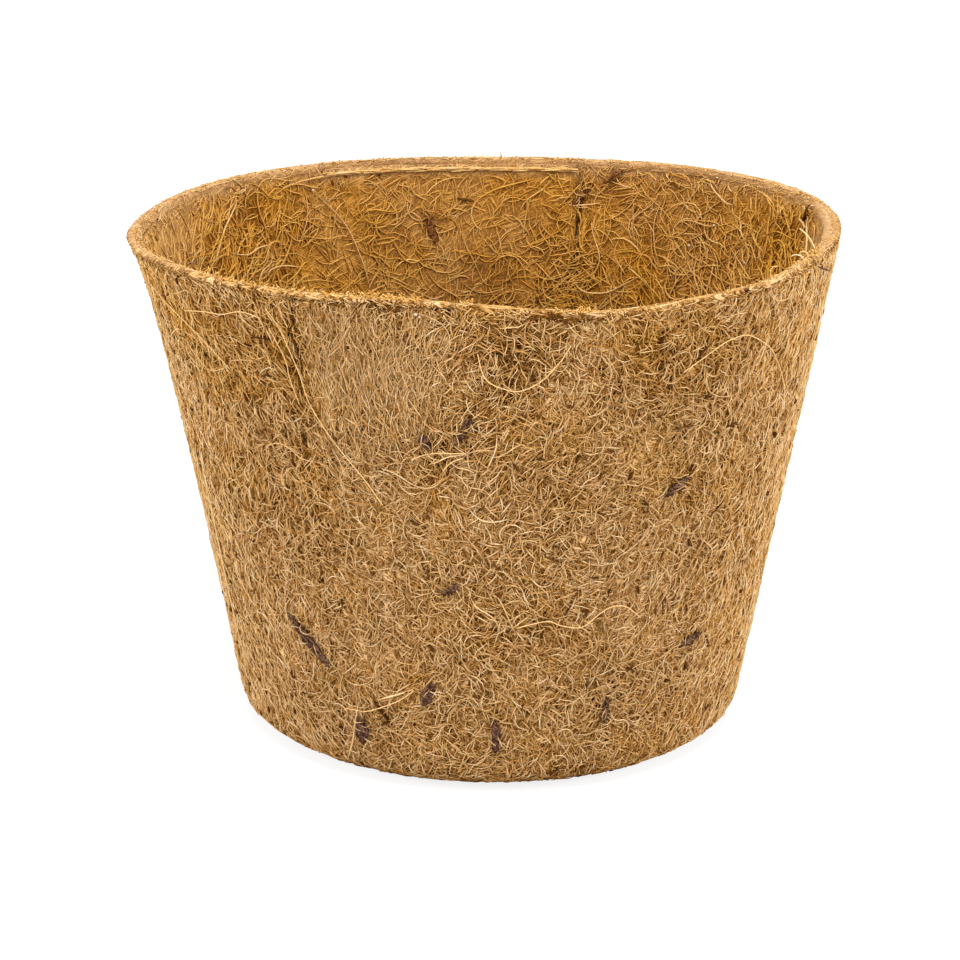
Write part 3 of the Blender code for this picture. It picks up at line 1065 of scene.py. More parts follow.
def joined(pieces: list[Piece], name: str, finish: Material) -> Piece:
    """Joins pieces into one smooth piece.

    Args:
        pieces: The pieces.
        name: The joined piece's name.
        finish: Its material.

    Returns:
        The joined piece.
    """
    select(*pieces)
    bpy.ops.object.join()
    whole = bpy.context.view_layer.objects.active
    whole.name = name
    whole.data.shade_smooth()
    whole.data.materials.clear()
    whole.data.materials.append(finish)
    return whole


@dataclass
class FeltBody:
    """The felt under the loose strands: both wall blanks and the base disc."""

    shape: WallShape
    mottles: dict[Face, Mottle]
    cuts: int = 3
    sink: float = 0.72 * MM
    lump: float = 1.6 * MM
    worn_band: float = 1.4 * MM
    crest_band: float = 0.5 * MM
    lip_band: float = 3 * MM
    ledge_band: float = 0.2 * MM
    foot_shade_band: float = 1.3 * MM
    skin: float = 0.25 * MM  # how near a face a vertex counts as on it
    underside: float = 1.5 * MM
    disc_height: float = 10 * MM
    pale_and_lit_shares: tuple[float, ...] = (0.65, 0.25, 0.3, 0.35)

    def mark(self, piece: Piece, start: float) -> Array:
        """Wears the rim, and writes the flat map and how open, warm, soft and pale the felt is. Openness
        is also painted shade at the foot, and paleness also painted highlight on the rim's crest and the
        ledge.

        Args:
            piece: A copy of a blank or of the disc.
            start: Azimuth from which the flat map runs, in radians.

        Returns:
            How far each vertex may sink, from 0 to 1.
        """
        mesh, shape = piece.data, self.shape
        spots = np.empty(len(mesh.vertices) * 3, np.float32)
        mesh.vertices.foreach_get("co", spots)
        spots = spots.reshape(-1, 3).astype(float)
        x, y, z = spots.T
        reach = np.maximum(np.hypot(x, y), 1e-6)
        turn = (np.arctan2(y, x) - start) % math.tau + start
        outer, inner = (shape.radius(face, turn, z) for face in (Face.OUTER, Face.INNER))
        across = (reach - inner) / (outer - inner)
        below = shape.top[Face.OUTER][shape.column(turn)] - z
        spots[:, 2] -= shape.drop(turn, across) * np.clip(1 - below / self.worn_band, 0, 1)
        spots[:, :2] *= 1 - (shape.roll(turn, below) * np.clip(1 - across, 0, 1) / reach)[:, None]
        mesh.vertices.foreach_set("co", spots.astype(np.float32).ravel())
        pairs = [self.mottles[face].values(turn, z) for face in (Face.OUTER, Face.INNER)]
        opened, warm, _, bare = (np.where(across > 0.5, *both) for both in zip(*pairs))
        front = shape.front(turn)
        aside = np.abs(across - (0.5 + 0.2 * front)) / (0.5 - 0.2 * front)
        topmost = np.clip(1.4 - below / self.crest_band, 0, 1) * np.clip(2 - 2 * aside, 0, 1)
        ledge = np.nan_to_num(np.clip(1.6 - np.abs(z - shape.step(turn)) / self.ledge_band, 0, 1))
        under = (z < self.underside) & (across < 0.9)
        # painted shade: the felt is drawn open, and so darker, towards the foot
        foot = np.clip(1.6 - z / self.foot_shade_band, 0, 1)
        crest = topmost * (1 - 0.5 * front)
        lip = (across < 0.5) * np.clip(1.4 - below / self.lip_band, 0, 1)
        write(mesh, "open", np.where(under, 0.5, np.maximum(opened, foot)))
        write(mesh, "warm", np.where(under, 0.3, warm))
        write(mesh, "soft", np.where(under, 0.0, np.maximum(0.8 * crest, across < 0.5)))
        # pale: the crest and the ledge are cut felt, and also painted highlight where they face the light
        # above; bare felt and the inner lip are paler too
        parts = zip(self.pale_and_lit_shares, (crest, bare, ledge, lip))
        write(mesh, "pale", np.max([share * part for share, part in parts], 0))
        is_disc = z.max() < self.disc_height
        flat = (x / MM, y / MM) if is_disc else (turn * AROUND, (z + reach) / MM)
        write(mesh, "flat_mm", np.stack([*flat, 0 * z], -1))
        near = np.minimum(np.abs(reach - outer), np.abs(reach - inner)) < self.skin
        sunk = np.clip(below / self.worn_band - 0.3, 0.1, 1) * (1 - 0.7 * bare) * (1 - ledge)
        return np.where(near | (z < 4 * MM), np.where(z < 2.5 * MM, 0.25, sunk), 0)

    def dress(self, node: str, start: float, finish: Material) -> None:
        """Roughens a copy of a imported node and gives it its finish.

        Args:
            node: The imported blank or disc.
            start: Azimuth from which its flat map runs, in degrees.
            finish: The felt's material.
        """
        piece = dressed_copy(node, node.replace("blank", "felt").replace("disc", "felt"), self.cuts)
        weights = np.round(self.mark(piece, math.radians(start)), 1)
        shown = piece.vertex_groups.new(name="shown")
        for weight in np.unique(weights[weights > 0]):
            shown.add(np.nonzero(weights == weight)[0].tolist(), weight, "REPLACE")
        apply_modifier(piece, "DISPLACE", self.lump, strength=self.sink, mid_level=1.0, vertex_group="shown")
        piece.data.materials.append(finish)
        piece.data.shade_smooth()
        mount(piece, "coir_felt", node)

    def build(self) -> None:
        """Makes the felt of both blanks and of the base."""
        felt = FeltFinish("coir_felt_pressed", FELT_STOPS, PALE_AND_LIT_STOPS).build()
        for node, start in (("front_wall_blank", 180.0), ("rear_wall_blank", 0.0), ("base_disc", 0.0)):
            self.dress(node, start, felt)


COMBED = StrandStyle(
    1.4, (3, 7), (0.1, 0.18), (0.06, 0.18), (0.62, 0.08), 0.05, 0.15, (92, 20, 1), steps=4, dive=0.3,
    azimuths=(239, 261), below_rim=(2.5, 25),
)
# Deeper layers have lower tones: painted shade within the mat.
OUTER_LAYERS = (
    COMBED,
    StrandStyle(0.15, (3, 6), (0.16, 0.28), (-0.26, -0.1), (0.42, 0.1), bend=0.1, curl=0.3, steps=3),
    StrandStyle(0.85, (2.5, 5.5), (0.15, 0.27), (-0.1, 0.06), (0.57, 0.12), bend=0.11, curl=0.3, steps=3),
    StrandStyle(0.54, (2.5, 6.5), (0.13, 0.24), (0.05, 0.2), (0.67, 0.1), bend=0.18, curl=0.5, loose=0.25),
    StrandStyle(1, (1.5, 4), (0.14, 0.26), (0, 0.15), (0.6, 0.12), 0.2, 0.5, steps=3, below_rim=(0.2, 2.6)),
    StrandStyle(
        0.5, (2, 5), (0.14, 0.26), (0.08, 0.28), (0.66, 0.12), 0.25, 0.6, azimuths=(190, 350),
        below_rim=(82.5, 88.5),
    ),
    StrandStyle(0.02, (5, 9), (0.15, 0.24), (0.12, 0.26), (0.7, 0.1), 0.3, 0.5, steps=9, loose=1),
    StrandStyle(0.006, (7, 14), (0.18, 0.26), (0.12, 0.22), (0.7, 0.1), 0.08, 0.3, steps=12),
    StrandStyle(
        0.02, (0.7, 2.2), (0.25, 0.75), (0.02, 0.12), (0.05, 0.05), dives=0, weave=0, steps=4, taper=0.95
    ),
    StrandStyle(
        1.6, (1.2, 3), (0.14, 0.24), (0.05, 0.2), (0.6, 0.1), 0.2, 0.5, (90, 35, 1), 3,
        azimuths=(236, 266), below_rim=(0.5, 2.6),
    ),
)
# Deeper layers have lower tones: painted shade within the mat.
INNER_LAYERS = (
    StrandStyle(0.2, (4, 8), (0.22, 0.38), (-0.32, -0.2), (0.54, 0.04), bend=0.1, curl=0.3, steps=3),
    StrandStyle(0.28, (4.5, 11), (0.22, 0.38), (-0.31, -0.18), (0.575, 0.045), bend=0.14, curl=0.4, steps=6),
    StrandStyle(
        0.15, (5, 12), (0.24, 0.4), (-0.21, -0.07), (0.605, 0.04), bend=0.16, curl=0.42, steps=7, loose=0.6
    ),
    StrandStyle(
        2.5, (2, 5), (0.2, 0.34), (-0.1, 0.05), (0.56, 0.05), aligned=(0, 35, 2),
        azimuths=(71.5, 75.5), below_rim=(14, 80),
    ),
    StrandStyle(
        0.4, (1.5, 4), (0.18, 0.34), (-0.1, 0.05), (0.62, 0.08), 0.2, 0.5, steps=3, below_rim=(0.2, 2.6)
    ),
    StrandStyle(0.012, (8, 16), (0.24, 0.36), (0, 0.1), (0.62, 0.05), bend=0.06, curl=0.2, steps=12),
    StrandStyle(
        0.006, (0.8, 2.5), (0.3, 0.7), (0, 0.08), (0.12, 0.05), dives=0, weave=0, steps=4, taper=0.95
    ),
)
HAIR = StrandStyle(
    0, (2.5, 5), (0.1, 0.16), (0.8, 1.05), (0.76, 0.08), 0.3, 0.5, (90, 90, 0), steps=7, dive=1, dives=1
)
# Very dark strands packed in narrow bands just under the front rim: painted shade of the gap between the
# plies.
CRACK_SHADE_STRANDS = tuple(
    StrandStyle(
        density, (0.8, 2.4), (0.14, 0.28), (0.05, 0.22), (0.1, 0.06), aligned=(0, 9, 2), dives=0,
        azimuths=azimuths, below_rim=band,
    )
    for density, azimuths, band in (
        (3, (241.8, 251), (1.15, 1.45)),
        (8, (251, 254.5), (0.95, 1.75)),
        (2.5, (254.5, 261.9), (0.9, 1.6)),
        (4, (274, 287), (0.7, 1.3)),
    )
)
OUTER_ROUTES = (
    Route(0.28, 0.74, (
        (226.3, 58.9), (227.9, 60.5), (230.6, 61.6), (232.9, 61.1),
        (234.8, 59.8), (236.8, 59.5), (239.3, 59.6),
    )),
    Route(0.22, 0.7, (
        (307, 81.1), (306.5, 76.8), (307.4, 73.2),
        (309.9, 70.9), (314.2, 70), (316.6, 70.8),
    )),
    Route(0.26, 0.74, (
        (270, 38.3), (271.4, 37.8), (272.3, 36.4),
        (273.2, 34.6), (274.2, 32.6), (275, 32),
    )),
    Route(0.34, 0.86, ((259.6, 61.5), (260.8, 62.1), (262.5, 63), (264, 63.3), (265.7, 63.6)), 0.3),
    Route(0.45, 0.88, ((247.1, 16.9), (250, 17.9), (252.9, 19)), 0.25),
    Route(0.4, 0.84, ((241.9, 15.6), (241, 12.8), (239.6, 8.2), (238.5, 5.7), (236.8, 3.1)), 0.25),
    Route(0.25, 0.74, ((208.4, 82.9), (211.9, 84.3), (214.1, 85.2), (215.2, 85.1))),
    Route(0.26, 0.74, (
        (199.3, 73.2), (202.5, 74), (205.9, 76),
        (208.2, 76.9), (213, 76.8), (215.3, 76.5),
    )),
    Route(0.24, 0.74, ((209.8, 75.9), (211.3, 74.2), (212.9, 72.8), (214.5, 71.7))),
    Route(0.24, 0.72, ((215.3, 71.2), (218.5, 72.1), (221.5, 73.5))),
    Route(0.24, 0.72, ((221.5, 74.4), (225.1, 75.3), (228.4, 75.7))),
    Route(0.26, 0.78, ((321.3, 84.3), (321.2, 85.5), (319.2, 87.1)), 0.3),
    Route(0.26, 0.74, ((233.6, 87.8), (234.6, 85.3), (235.4, 83.1), (235.9, 81.3), (235.1, 78.4))),
    Route(0.22, 0.7, ((244.2, 49.9), (242.9, 45.2), (242.1, 41.4), (242, 38.6))),
    Route(0.3, 0.78, ((203.8, 57.5), (202.4, 40.5), (201.6, 25.1), (202.6, 13.9)), 0.2),
    Route(0.26, 0.76, ((319.8, 87.4), (322.3, 85.1), (327.8, 84.2)), 0.3),
    Route(0.8, 0, ((206.9, 75.4), (208.8, 75.8), (210.7, 75.9)), 0),
    Route(0.5, 0, ((211.2, 75.3), (213.8, 74.5), (216.6, 73.4)), 0),
    Route(0.7, 0, ((227.4, 79.6), (229.8, 80.1), (232.4, 80)), 0),
    Route(0.7, 0.02, ((245.1, 16.7), (246.7, 14.7), (248.6, 12.6)), 0.05),
    Route(0.35, 0, ((338.9, 87.2), (343.9, 85.6), (350, 83.8)), 0.36),
    Route(0.6, 0.05, ((258.2, 42.5), (258.5, 40.7)), 0.1),
    Route(0.6, 0.08, ((301.7, 66.1), (304.4, 66.3), (307.1, 66.1)), 0.1),
    Route(0.6, 0.05, ((297.7, 54), (299.1, 52.6)), 0.1),
    Route(0.65, 0.05, ((298.9, 38.2), (299.4, 36.5)), 0.1),
    Route(0.8, 0.05, ((320.2, 24.3), (321.8, 21.8)), 0.1),
    Route(0.7, 0.05, ((283.5, 3.5), (286.1, 4.6)), 0.1),
)
# Dark flecks between the fibres. A separate program found their ends in the photograph, and the rest
# was chosen by hand.
SPECKS = tuple(
    Route(thick, 0.03, ends, 0.17, 0.1)
    for thick, ends in (
        # the first is the painted shadow along the outer lap's edge
        (0.6, ((235.1, 83.5), (236, 81.7), (237, 79), (237.7, 75))),
        (0.7, ((306.6, 56.2), (304.8, 54.3))),
        (0.85, ((309.2, 45.1), (310.3, 43.4))),
        (0.75, ((317, 64.7), (314.6, 64.4))),
        (0.75, ((295, 59.6), (294.3, 58))),
        (0.75, ((275.6, 80.3), (274.7, 79.4))),
        (0.6, ((307, 80.6), (304.7, 78.5))),
        (0.75, ((298, 83.3), (297.2, 81.7))),
        (0.75, ((272.2, 81.6), (273.3, 80.3))),
        (0.7, ((276.8, 77.7), (276.1, 76.3))),
        (0.9, ((256.9, 50.4), (255.4, 51.1))),
        (0.65, ((242.1, 65.1), (242.8, 64))),
        (0.5, ((317.2, 50.8), (314.6, 48.6))),
        (0.65, ((233, 59.2), (233.6, 57.9))),
        (0.65, ((327, 75.8), (325.1, 75.1))),
        (0.65, ((257.9, 28.3), (259.1, 27.2))),
        (0.65, ((224.2, 18), (224.6, 16.3))),
        (0.65, ((282.5, 21), (281.4, 20))),
        (0.6, ((273.5, 62.2), (274.7, 60.7))),
    )
)
INNER_ROUTES = (
    Route(0.36, 0.7, (
        (149.5, 76.2), (147.1, 75.4), (144.7, 75.1),
        (142.4, 75.7), (140.5, 75.9), (138.7, 75.8),
    )),
    Route(0.36, 0.68, ((141, 70.9), (138.6, 71.6), (136.4, 71.6), (134, 71.2), (132.4, 70.7))),
    Route(0.36, 0.74, ((75, 80.5), (71.7, 80.7), (68.8, 81.2)), 0.3),
    Route(0.36, 0.7, (
        (72.8, 65.9), (71.7, 64.9), (70.1, 64.3), (67.8, 64.3),
        (65.5, 64.7), (62.4, 66.4), (59.3, 68.2),
    ), 0.3),
    Route(0.34, 0.72, ((48, 87), (46.4, 85.4), (43.9, 83.9), (42.2, 83.7)), 0.3),
    Route(0.38, 0.7, ((145.3, 85.1), (151.5, 79.9), (155.3, 75.7)), 0.3),
    Route(0.38, 0.7, ((126.6, 83.6), (121.4, 77.5), (118.3, 70.3), (116.9, 64.9)), 0.3),
    Route(0.4, 0.78, ((19.6, 85.3), (17.5, 83.4), (16.1, 81.4), (15.5, 79.4)), 0.4),
    Route(0.4, 0.76, ((23.7, 85), (21.4, 84.8), (19.8, 84.1)), 0.3),
    Route(0.8, 0.02, ((21.9, 84.6), (21.2, 86.4), (20.6, 88.2)), 0.1),
    Route(0.45, 0.8, ((19.9, 87.6), (18.9, 88.3), (17.4, 88.8)), 0.3),
    Route(0.6, 0.08, ((98.1, 81.6), (94.4, 81)), 0.1),
    Route(0.7, 0.08, ((55.5, 86.1), (53.8, 85)), 0.1),
    Route(0.36, 0.68, ((122, 87), (126, 86.8), (130, 86.5)), 0.1, 0.4),
    Route(0.3, 0.66, ((124, 86.6), (128, 86.6), (133, 86)), 0.1, 0.4),
)


def heights_met(tree: BVHTree, xy: Array, start: float, down: bool) -> Array:
    """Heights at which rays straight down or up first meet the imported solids.

    Args:
        tree: The solids' faces.
        xy: Places, with any shape but for the last axis.
        start: Level at which the rays start.
        down: Whether they go down.

    Returns:
        The heights, not a number where nothing is met.
    """
    way = Vector((0, 0, -1 if down else 1))
    hits = [tree.ray_cast(Vector((x, y, start)), way, 0.2)[0] for x, y in xy.reshape(-1, 2)]
    return np.array([math.nan if hit is None else hit.z for hit in hits]).reshape(xy.shape[:-1])


@dataclass
class BaseFibres:
    """Strands matted on the base, inside the pot and underneath."""

    tree: BVHTree
    rng: np.random.Generator
    density: float = 0.5
    under_density: float = 0.75
    steps: int = 4
    length: tuple[float, float] = (3.0, 9.0)
    bend: float = 300.0
    radius: tuple[float, float] = (0.08, 0.16)

    def mat(self, reach: float, start: float, down: bool) -> Strands:
        """Strands on one side of the base.

        Args:
            reach: Radius of the area.
            start: Level to look from.
            down: Whether the side looks up.

        Returns:
            The strands.
        """
        rng = self.rng
        count = int((self.density if down else self.under_density) * math.pi * (reach / MM) ** 2)
        turn, share = rng.uniform(0, math.tau, count), np.sqrt(rng.uniform(0, 1, count))
        xy = [np.stack([np.cos(turn), np.sin(turn)], -1) * (reach * share)[:, None]]
        heading = rng.uniform(0, math.tau, count)
        step = rng.uniform(*self.length, count) * MM / self.steps
        bend = rng.normal(0, self.bend, count)
        for _ in range(self.steps):
            xy.append(xy[-1] + step[:, None] * np.stack([np.cos(heading), np.sin(heading)], -1))
            heading = heading + bend * step
        places = np.stack(xy, 1)
        places = places[(np.linalg.norm(places, axis=-1) < reach).all(1)]
        level = heights_met(self.tree, places, start, down)
        met = ~np.isnan(level).any(1)
        places, level = places[met], level[met]
        count = len(places)
        lift = rng.uniform(-0.2, 0.12 if down else -0.08, (count, 1)) * MM
        paths = np.concatenate([places, (level + (lift if down else -lift))[..., None]], -1)
        normals = np.zeros_like(paths)
        normals[..., 2] = 1 if down else -1
        radii = np.broadcast_to(rng.uniform(*self.radius, (count, 1)) * MM, paths.shape[:2])
        tones = np.clip(rng.normal(0.58, 0.16, (count, 1)), 0, 1)
        warmth = np.clip(rng.normal(0.6 if down else 0.4, 0.15, (count, 1)), 0, 1)
        return Strands(paths, normals, radii, tones, warmth)

    def build(self, finish: Material) -> None:
        """Lays the mats inside and underneath, in the strands' material."""
        inside = self.mat(41 * MM, 30 * MM, True)
        under = self.mat(40 * MM, -10 * MM, False)
        mount(strand_mesh("base_fibres_inside", [inside], finish), "loose_coir")
        mount(strand_mesh("base_fibres_under", [under], finish), "loose_coir")


@dataclass
class RimFringe:
    """The trimmed rim: cut ends of strands, strands that lie along it, and curly crumbs.

    Crumbs are left by the trimming: each run of them has its two azimuths and a count. Curls are
    fibres that stand free: each has its azimuth, and its places as millimetres inward and up.
    """

    shape: WallShape
    tree: BVHTree
    rng: np.random.Generator
    rim_radius: float = 60.0  # mm, which turns lengths along the rim into angles
    stubs: int = 2700
    lying: int = 350
    shelved: int = 420
    crumbs: tuple[tuple[float, float, int], ...] = (
        (0, 360, 30), (214, 243, 260), (243, 258.5, 260),
        (264.5, 267.5, 30), (280.5, 286.5, 80), (334, 343, 60),
    )
    curls: tuple[tuple[float, tuple[tuple[float, float], ...]], ...] = (
        (341.5, ((-0.3, -0.6), (0.1, 0.5), (0.5, 1.4), (1.4, 2.7), (2.9, 3.9))),
        (338.5, ((0, -0.4), (0.9, 0.7), (1.8, 0.4), (1.6, -0.3))),
        (336, ((0, -0.4), (0.8, 0.5), (1.9, 0.6), (2.6, 0.2))),
        (321.5, ((-0.3, -0.5), (0.2, 1), (-0.3, 1.9), (-1.1, 2.2))),
    )

    def places(self, turn: Array, across: Array) -> Array:
        """Places on the rim's cut face.

        Args:
            turn: Azimuths in radians.
            across: 0 at the inner edge, 1 at the outer.

        Returns:
            Points on it.
        """
        top = self.shape.rim(Face.OUTER, turn) - 0.4 * MM
        near = self.shape.radius(Face.INNER, turn, top)
        radius = near + (self.shape.radius(Face.OUTER, turn, top) - near) * across
        xy = on_ring(turn, radius, top)[..., :2]
        level = np.fmax(heights_met(self.tree, xy, 0.1, True), top - 2 * MM)
        level = level - self.shape.drop(turn, across)
        return np.concatenate([xy, level[..., None]], -1)

    def arcs(self, start: Array, length: tuple[float, float], bend: float, rise: float) -> Array:
        """Short arcs in space from their starts.

        Args:
            start: Start points.
            length: Shortest and longest, in millimetres.
            bend: Spread of the bend, in radians per millimetre.
            rise: How upright the arcs start, 0 to 1.

        Returns:
            Five points of each arc.
        """
        rng, count = self.rng, len(start)
        turn = rng.uniform(0, math.tau, count)
        lean = rng.uniform(-0.1, 1, count) * rise * math.pi / 2
        ahead = on_ring(turn, np.cos(lean), np.sin(lean))
        other = np.cross(ahead, rng.normal(size=(count, 3)))
        other /= np.linalg.norm(other, axis=-1, keepdims=True)
        size = (rng.uniform(*length, count) * MM)[:, None]
        curve = rng.normal(0, bend, (count, 1)) / MM
        curve = np.where(np.abs(curve) < 50, 50, curve)
        paths = [start]
        for k in range(1, 5):
            s = size * k / 4
            paths.append(start + (np.sin(curve * s) * ahead + (1 - np.cos(curve * s)) * other) / curve)
        made = np.stack(paths, 1)
        made[..., 2] = np.maximum(made[..., 2], start[:, None, 2] - 0.05 * MM)
        return made

    def strands(
        self, paths: Array, thick: tuple[float, float], tone: tuple[float, float], warm: float
    ) -> Strands:
        """Strands along paths on the rim.

        Args:
            paths: The strands' points.
            thick: Least and greatest thickness in millimetres.
            tone: Mean and spread of the tone.
            warm: Mean warmth.

        Returns:
            The strands.
        """
        rng, (count, points) = self.rng, paths.shape[:2]
        normals = np.zeros_like(paths)
        normals[..., 2] = 1
        normals += rng.normal(0, 0.2, (count, 1, 3))
        radii = np.broadcast_to(rng.uniform(*thick, (count, 1)) * MM / 2, (count, points))
        tones = np.clip(rng.normal(*tone, (count, 1)), 0, 0.9)
        warmth = np.clip(rng.normal(warm, 0.12, (count, 1)), 0, 1)
        return Strands(paths, normals, radii, tones, warmth)

    def build(self, finish: Material) -> None:
        """Lays stubs, lying strands, crumbs and curls.

        Args:
            finish: The strands' material.
        """
        rng = self.rng
        turn, across = rng.uniform(0, math.tau, self.stubs), rng.uniform(0.02, 0.98, self.stubs)
        stubs = self.arcs(self.places(turn, across) - [0, 0, 0.12 * MM], (0.2, 0.5), 0.8, 0.7)
        turn = rng.uniform(0, math.tau, self.lying)
        lying = self.lay_along(turn, rng.uniform(0.05, 0.95, self.lying))
        turn = np.concatenate([np.radians(rng.uniform(*run)) for run in self.crumbs])
        crumbs = self.arcs(self.places(turn, rng.uniform(0, 1, turn.size)), (0.5, 1.8), 2.4, 0.35)
        curls = np.stack([self.free(*curl) for curl in self.curls])
        groups = [
            self.strands(curls, (0.24, 0.28), (0.84, 0.03), 0.3),
            self.strands(stubs, (0.15, 0.30), (0.62, 0.15), 0.25),
            self.strands(lying, (0.14, 0.24), (0.64, 0.12), 0.2),
            self.strands(self.shelf(), (0.16, 0.36), (0.66, 0.08), 0.35),
            self.strands(crumbs, (0.14, 0.26), (0.64, 0.12), 0.6),
        ]
        mount(strand_mesh("rim_fibres", groups, finish), "loose_coir")

    def shelf(self) -> Array:
        """Paths of short strands along the edge of the inner ply's step.

        Returns:
            Five points of each strand.
        """
        rng, count = self.rng, self.shelved
        turn = self.shape.turns[rng.choice(np.nonzero(~np.isnan(self.shape.ledge))[0], count)]
        way, tilt = rng.uniform(0.006, 0.020, count), rng.normal(0, 0.12, count)
        inset, lift = rng.uniform(-0.1, 0.7, count) * MM, rng.uniform(-0.35, 0.12, count) * MM
        points = []
        for _ in range(5):
            level = self.shape.step(turn)
            radius = self.shape.radius(Face.INNER, turn, level - 1 * MM) + inset
            points.append(on_ring(turn, radius, level + lift))
            known = ~np.isnan(self.shape.step(turn + way))
            turn, lift = turn + np.where(known, way, 0.0005), lift + tilt * way * 15 * MM
        return np.stack(points, 1)

    def free(self, azimuth: float, points: tuple[tuple[float, float], ...]) -> Array:
        """The path of a fibre that stands free of the rim.

        Args:
            azimuth: Where it leaves the rim, in degrees.
            points: Its places as millimetres inward and up.

        Returns:
            Nine points of the fibre.
        """
        turn = np.array(math.radians(azimuth))
        inward, up = smooth_line(points, 9).T[..., None] * MM
        out = np.array([math.cos(turn), math.sin(turn), 0.0])
        return self.places(turn, np.array(0.6)) - inward * out + up * np.array([0.0, 0.0, 1.0])

    def lay_along(self, turn: Array, across: Array) -> Array:
        """Paths of strands that lie along the rim, wandering over its cut face.

        Args:
            turn: Start azimuths in radians.
            across: Starts from 0 at the inner edge to 1 at the outer.

        Returns:
            Five points of each strand.
        """
        rng, count = self.rng, turn.size
        way = rng.integers(0, 2, count) * 2 - 1
        step = rng.uniform(0.5, 1.6, count) / self.rim_radius
        drift = rng.normal(0, 0.06, count)
        lift = rng.uniform(-0.08, 0.1, count) * MM
        points = []
        for k in range(5):
            place = self.places(turn + way * step * k, np.clip(across + drift * k, -0.02, 1.02))
            points.append(place + [0, 0, 1] * lift[:, None])
        return np.stack(points, 1)


@dataclass
class HeldPieces:
    """Loose pieces that the latex holds on one face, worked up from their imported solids.

    Each kind has its own shape(), for one copy, and mark(), for the joined mesh.
    """

    face: Face
    nodes: tuple[str, ...]

    def build(self, name: str, slot: str, finish: Material) -> None:
        """Shapes a copy of each solid and joins the copies into one piece.

        Args:
            name: The piece's name, to which the face is added.
            slot: Its material slot.
            finish: Its material.
        """
        made = []
        for node in self.nodes:
            made.append(dressed_copy(node, node + "_copy"))
            low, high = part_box(node)
            made[-1].data.transform(self.shape(made[-1], low, high))
        whole = joined(made, f"{name}_{self.face.name.lower()}", finish)
        self.mark(whole.data)
        mount(whole, slot, *self.nodes)


@dataclass
class LooseFibres(HeldPieces):
    """The long fibres that stand out on the felt, rounded from their packed tubes."""

    sink: float = 0.04 * MM
    thinner: float = 0.035 * MM

    def shape(self, piece: Piece, low: Vector, high: Vector) -> Matrix:
        """Rounds a fibre and thins it.

        Args:
            piece: The fibre's copy.
            low: Lowest corner of its box.
            high: Highest corner.

        Returns:
            The move that sinks it into the felt.
        """
        apply_modifier(piece, "SUBSURF", levels=1, render_levels=1)
        apply_modifier(piece, "DISPLACE", strength=-self.thinner, mid_level=0.0)
        closer = 1 - self.face.value * self.sink / max(low.xy.length, high.xy.length)
        return Matrix.Diagonal((closer, closer, 1, 1))

    def mark(self, mesh: bpy.types.Mesh) -> None:
        """Writes the fibres' tone and warmth, darker and warmer inside."""
        # warmer inside, partly as painted warm light that bounces within the pot
        tone, warm = (0.78, 0.25) if self.face is Face.OUTER else (0.54, 1.0)
        write(mesh, "tone", np.full(len(mesh.vertices), tone))
        write(mesh, "warm", np.full(len(mesh.vertices), warm))


@dataclass
class HuskChips(HeldPieces):
    """Flakes of coconut husk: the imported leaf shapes, made ragged and sunk into the mat."""

    sink: float = 0.20 * MM

    def shape(self, piece: Piece, low: Vector, high: Vector) -> Matrix:
        """Makes a flake ragged.

        Args:
            piece: The flake's copy.
            low: Lowest corner of its box.
            high: Highest corner.

        Returns:
            The move that sinks it into the felt.
        """
        apply_modifier(piece, "SUBSURF", levels=2, render_levels=2, subdivision_type="SIMPLE")
        apply_modifier(piece, "DISPLACE", 1.3 * MM, strength=0.9 * MM, mid_level=0.42)
        way = ((low + high) / 2).xy.normalized() * (-self.face.value * self.sink)
        return Matrix.Translation((*way, 0))

    def mark(self, mesh: bpy.types.Mesh) -> None:
        """Writes the flat map of the flakes' own grain."""
        flat = [(math.atan2(v.co.y, v.co.x) * AROUND, v.co.z / MM, 0.0) for v in mesh.vertices]
        write(mesh, "flat_mm", np.array(flat))


@dataclass
class LatexDrops:
    """Dried drops of latex, coloured pale to stand in for the glints that they catch: painted highlight.
    Places as azimuth, height and size in mm on each face.
    """

    places: tuple[tuple[Face, tuple[tuple[float, float, float], ...]], ...] = (
        (Face.INNER, ((49.8, 75.1, 0.3), (45.2, 79.5, 0.26), (36.4, 74.1, 0.22), (169.2, 78.8, 0.26))),
        (Face.INNER, ((163.8, 77.5, 0.18), (127.6, 84.6, 0.26))),
        (Face.OUTER, ((257.6, 87.3, 0.3), (258.3, 86.9, 0.2))),
        (Face.INNER, ((16.6, 88.5, 0.3),)),
    )

    def build(self, shape: WallShape) -> None:
        """Sets the drops on the wall and joins them.

        Args:
            shape: The wall that they sit on.
        """
        material, tree, shader = new_material("natural_latex")
        # a pale colour, standing in for glints: painted highlight
        feed(tree, shader, {"Base Color": linear("c9b7a8"), "Roughness": 0.6, "Specular IOR Level": 0.2})
        made = []
        for face, azimuth, height, size in ((face, *drop) for face, drops in self.places for drop in drops):
            turn, level = math.radians(azimuth), np.array(height * MM)
            reach = float(shape.radius(face, np.array(turn), level)) + face.value * 0.2 * MM
            select()
            bpy.ops.mesh.primitive_ico_sphere_add(
                subdivisions=2,
                radius=size * MM,
                location=(reach * math.cos(turn), reach * math.sin(turn), height * MM),
                rotation=(0, 0, turn),
                scale=(0.35, 1.0, 0.8),
            )
            bpy.ops.object.transform_apply(location=True, rotation=True, scale=True)
            made.append(bpy.context.active_object)
        whole = joined(made, "latex_drops", material)
        apply_modifier(whole, "DISPLACE", 0.2 * MM, strength=0.35 * MM, mid_level=0.5)
        mount(whole, "coir_felt")


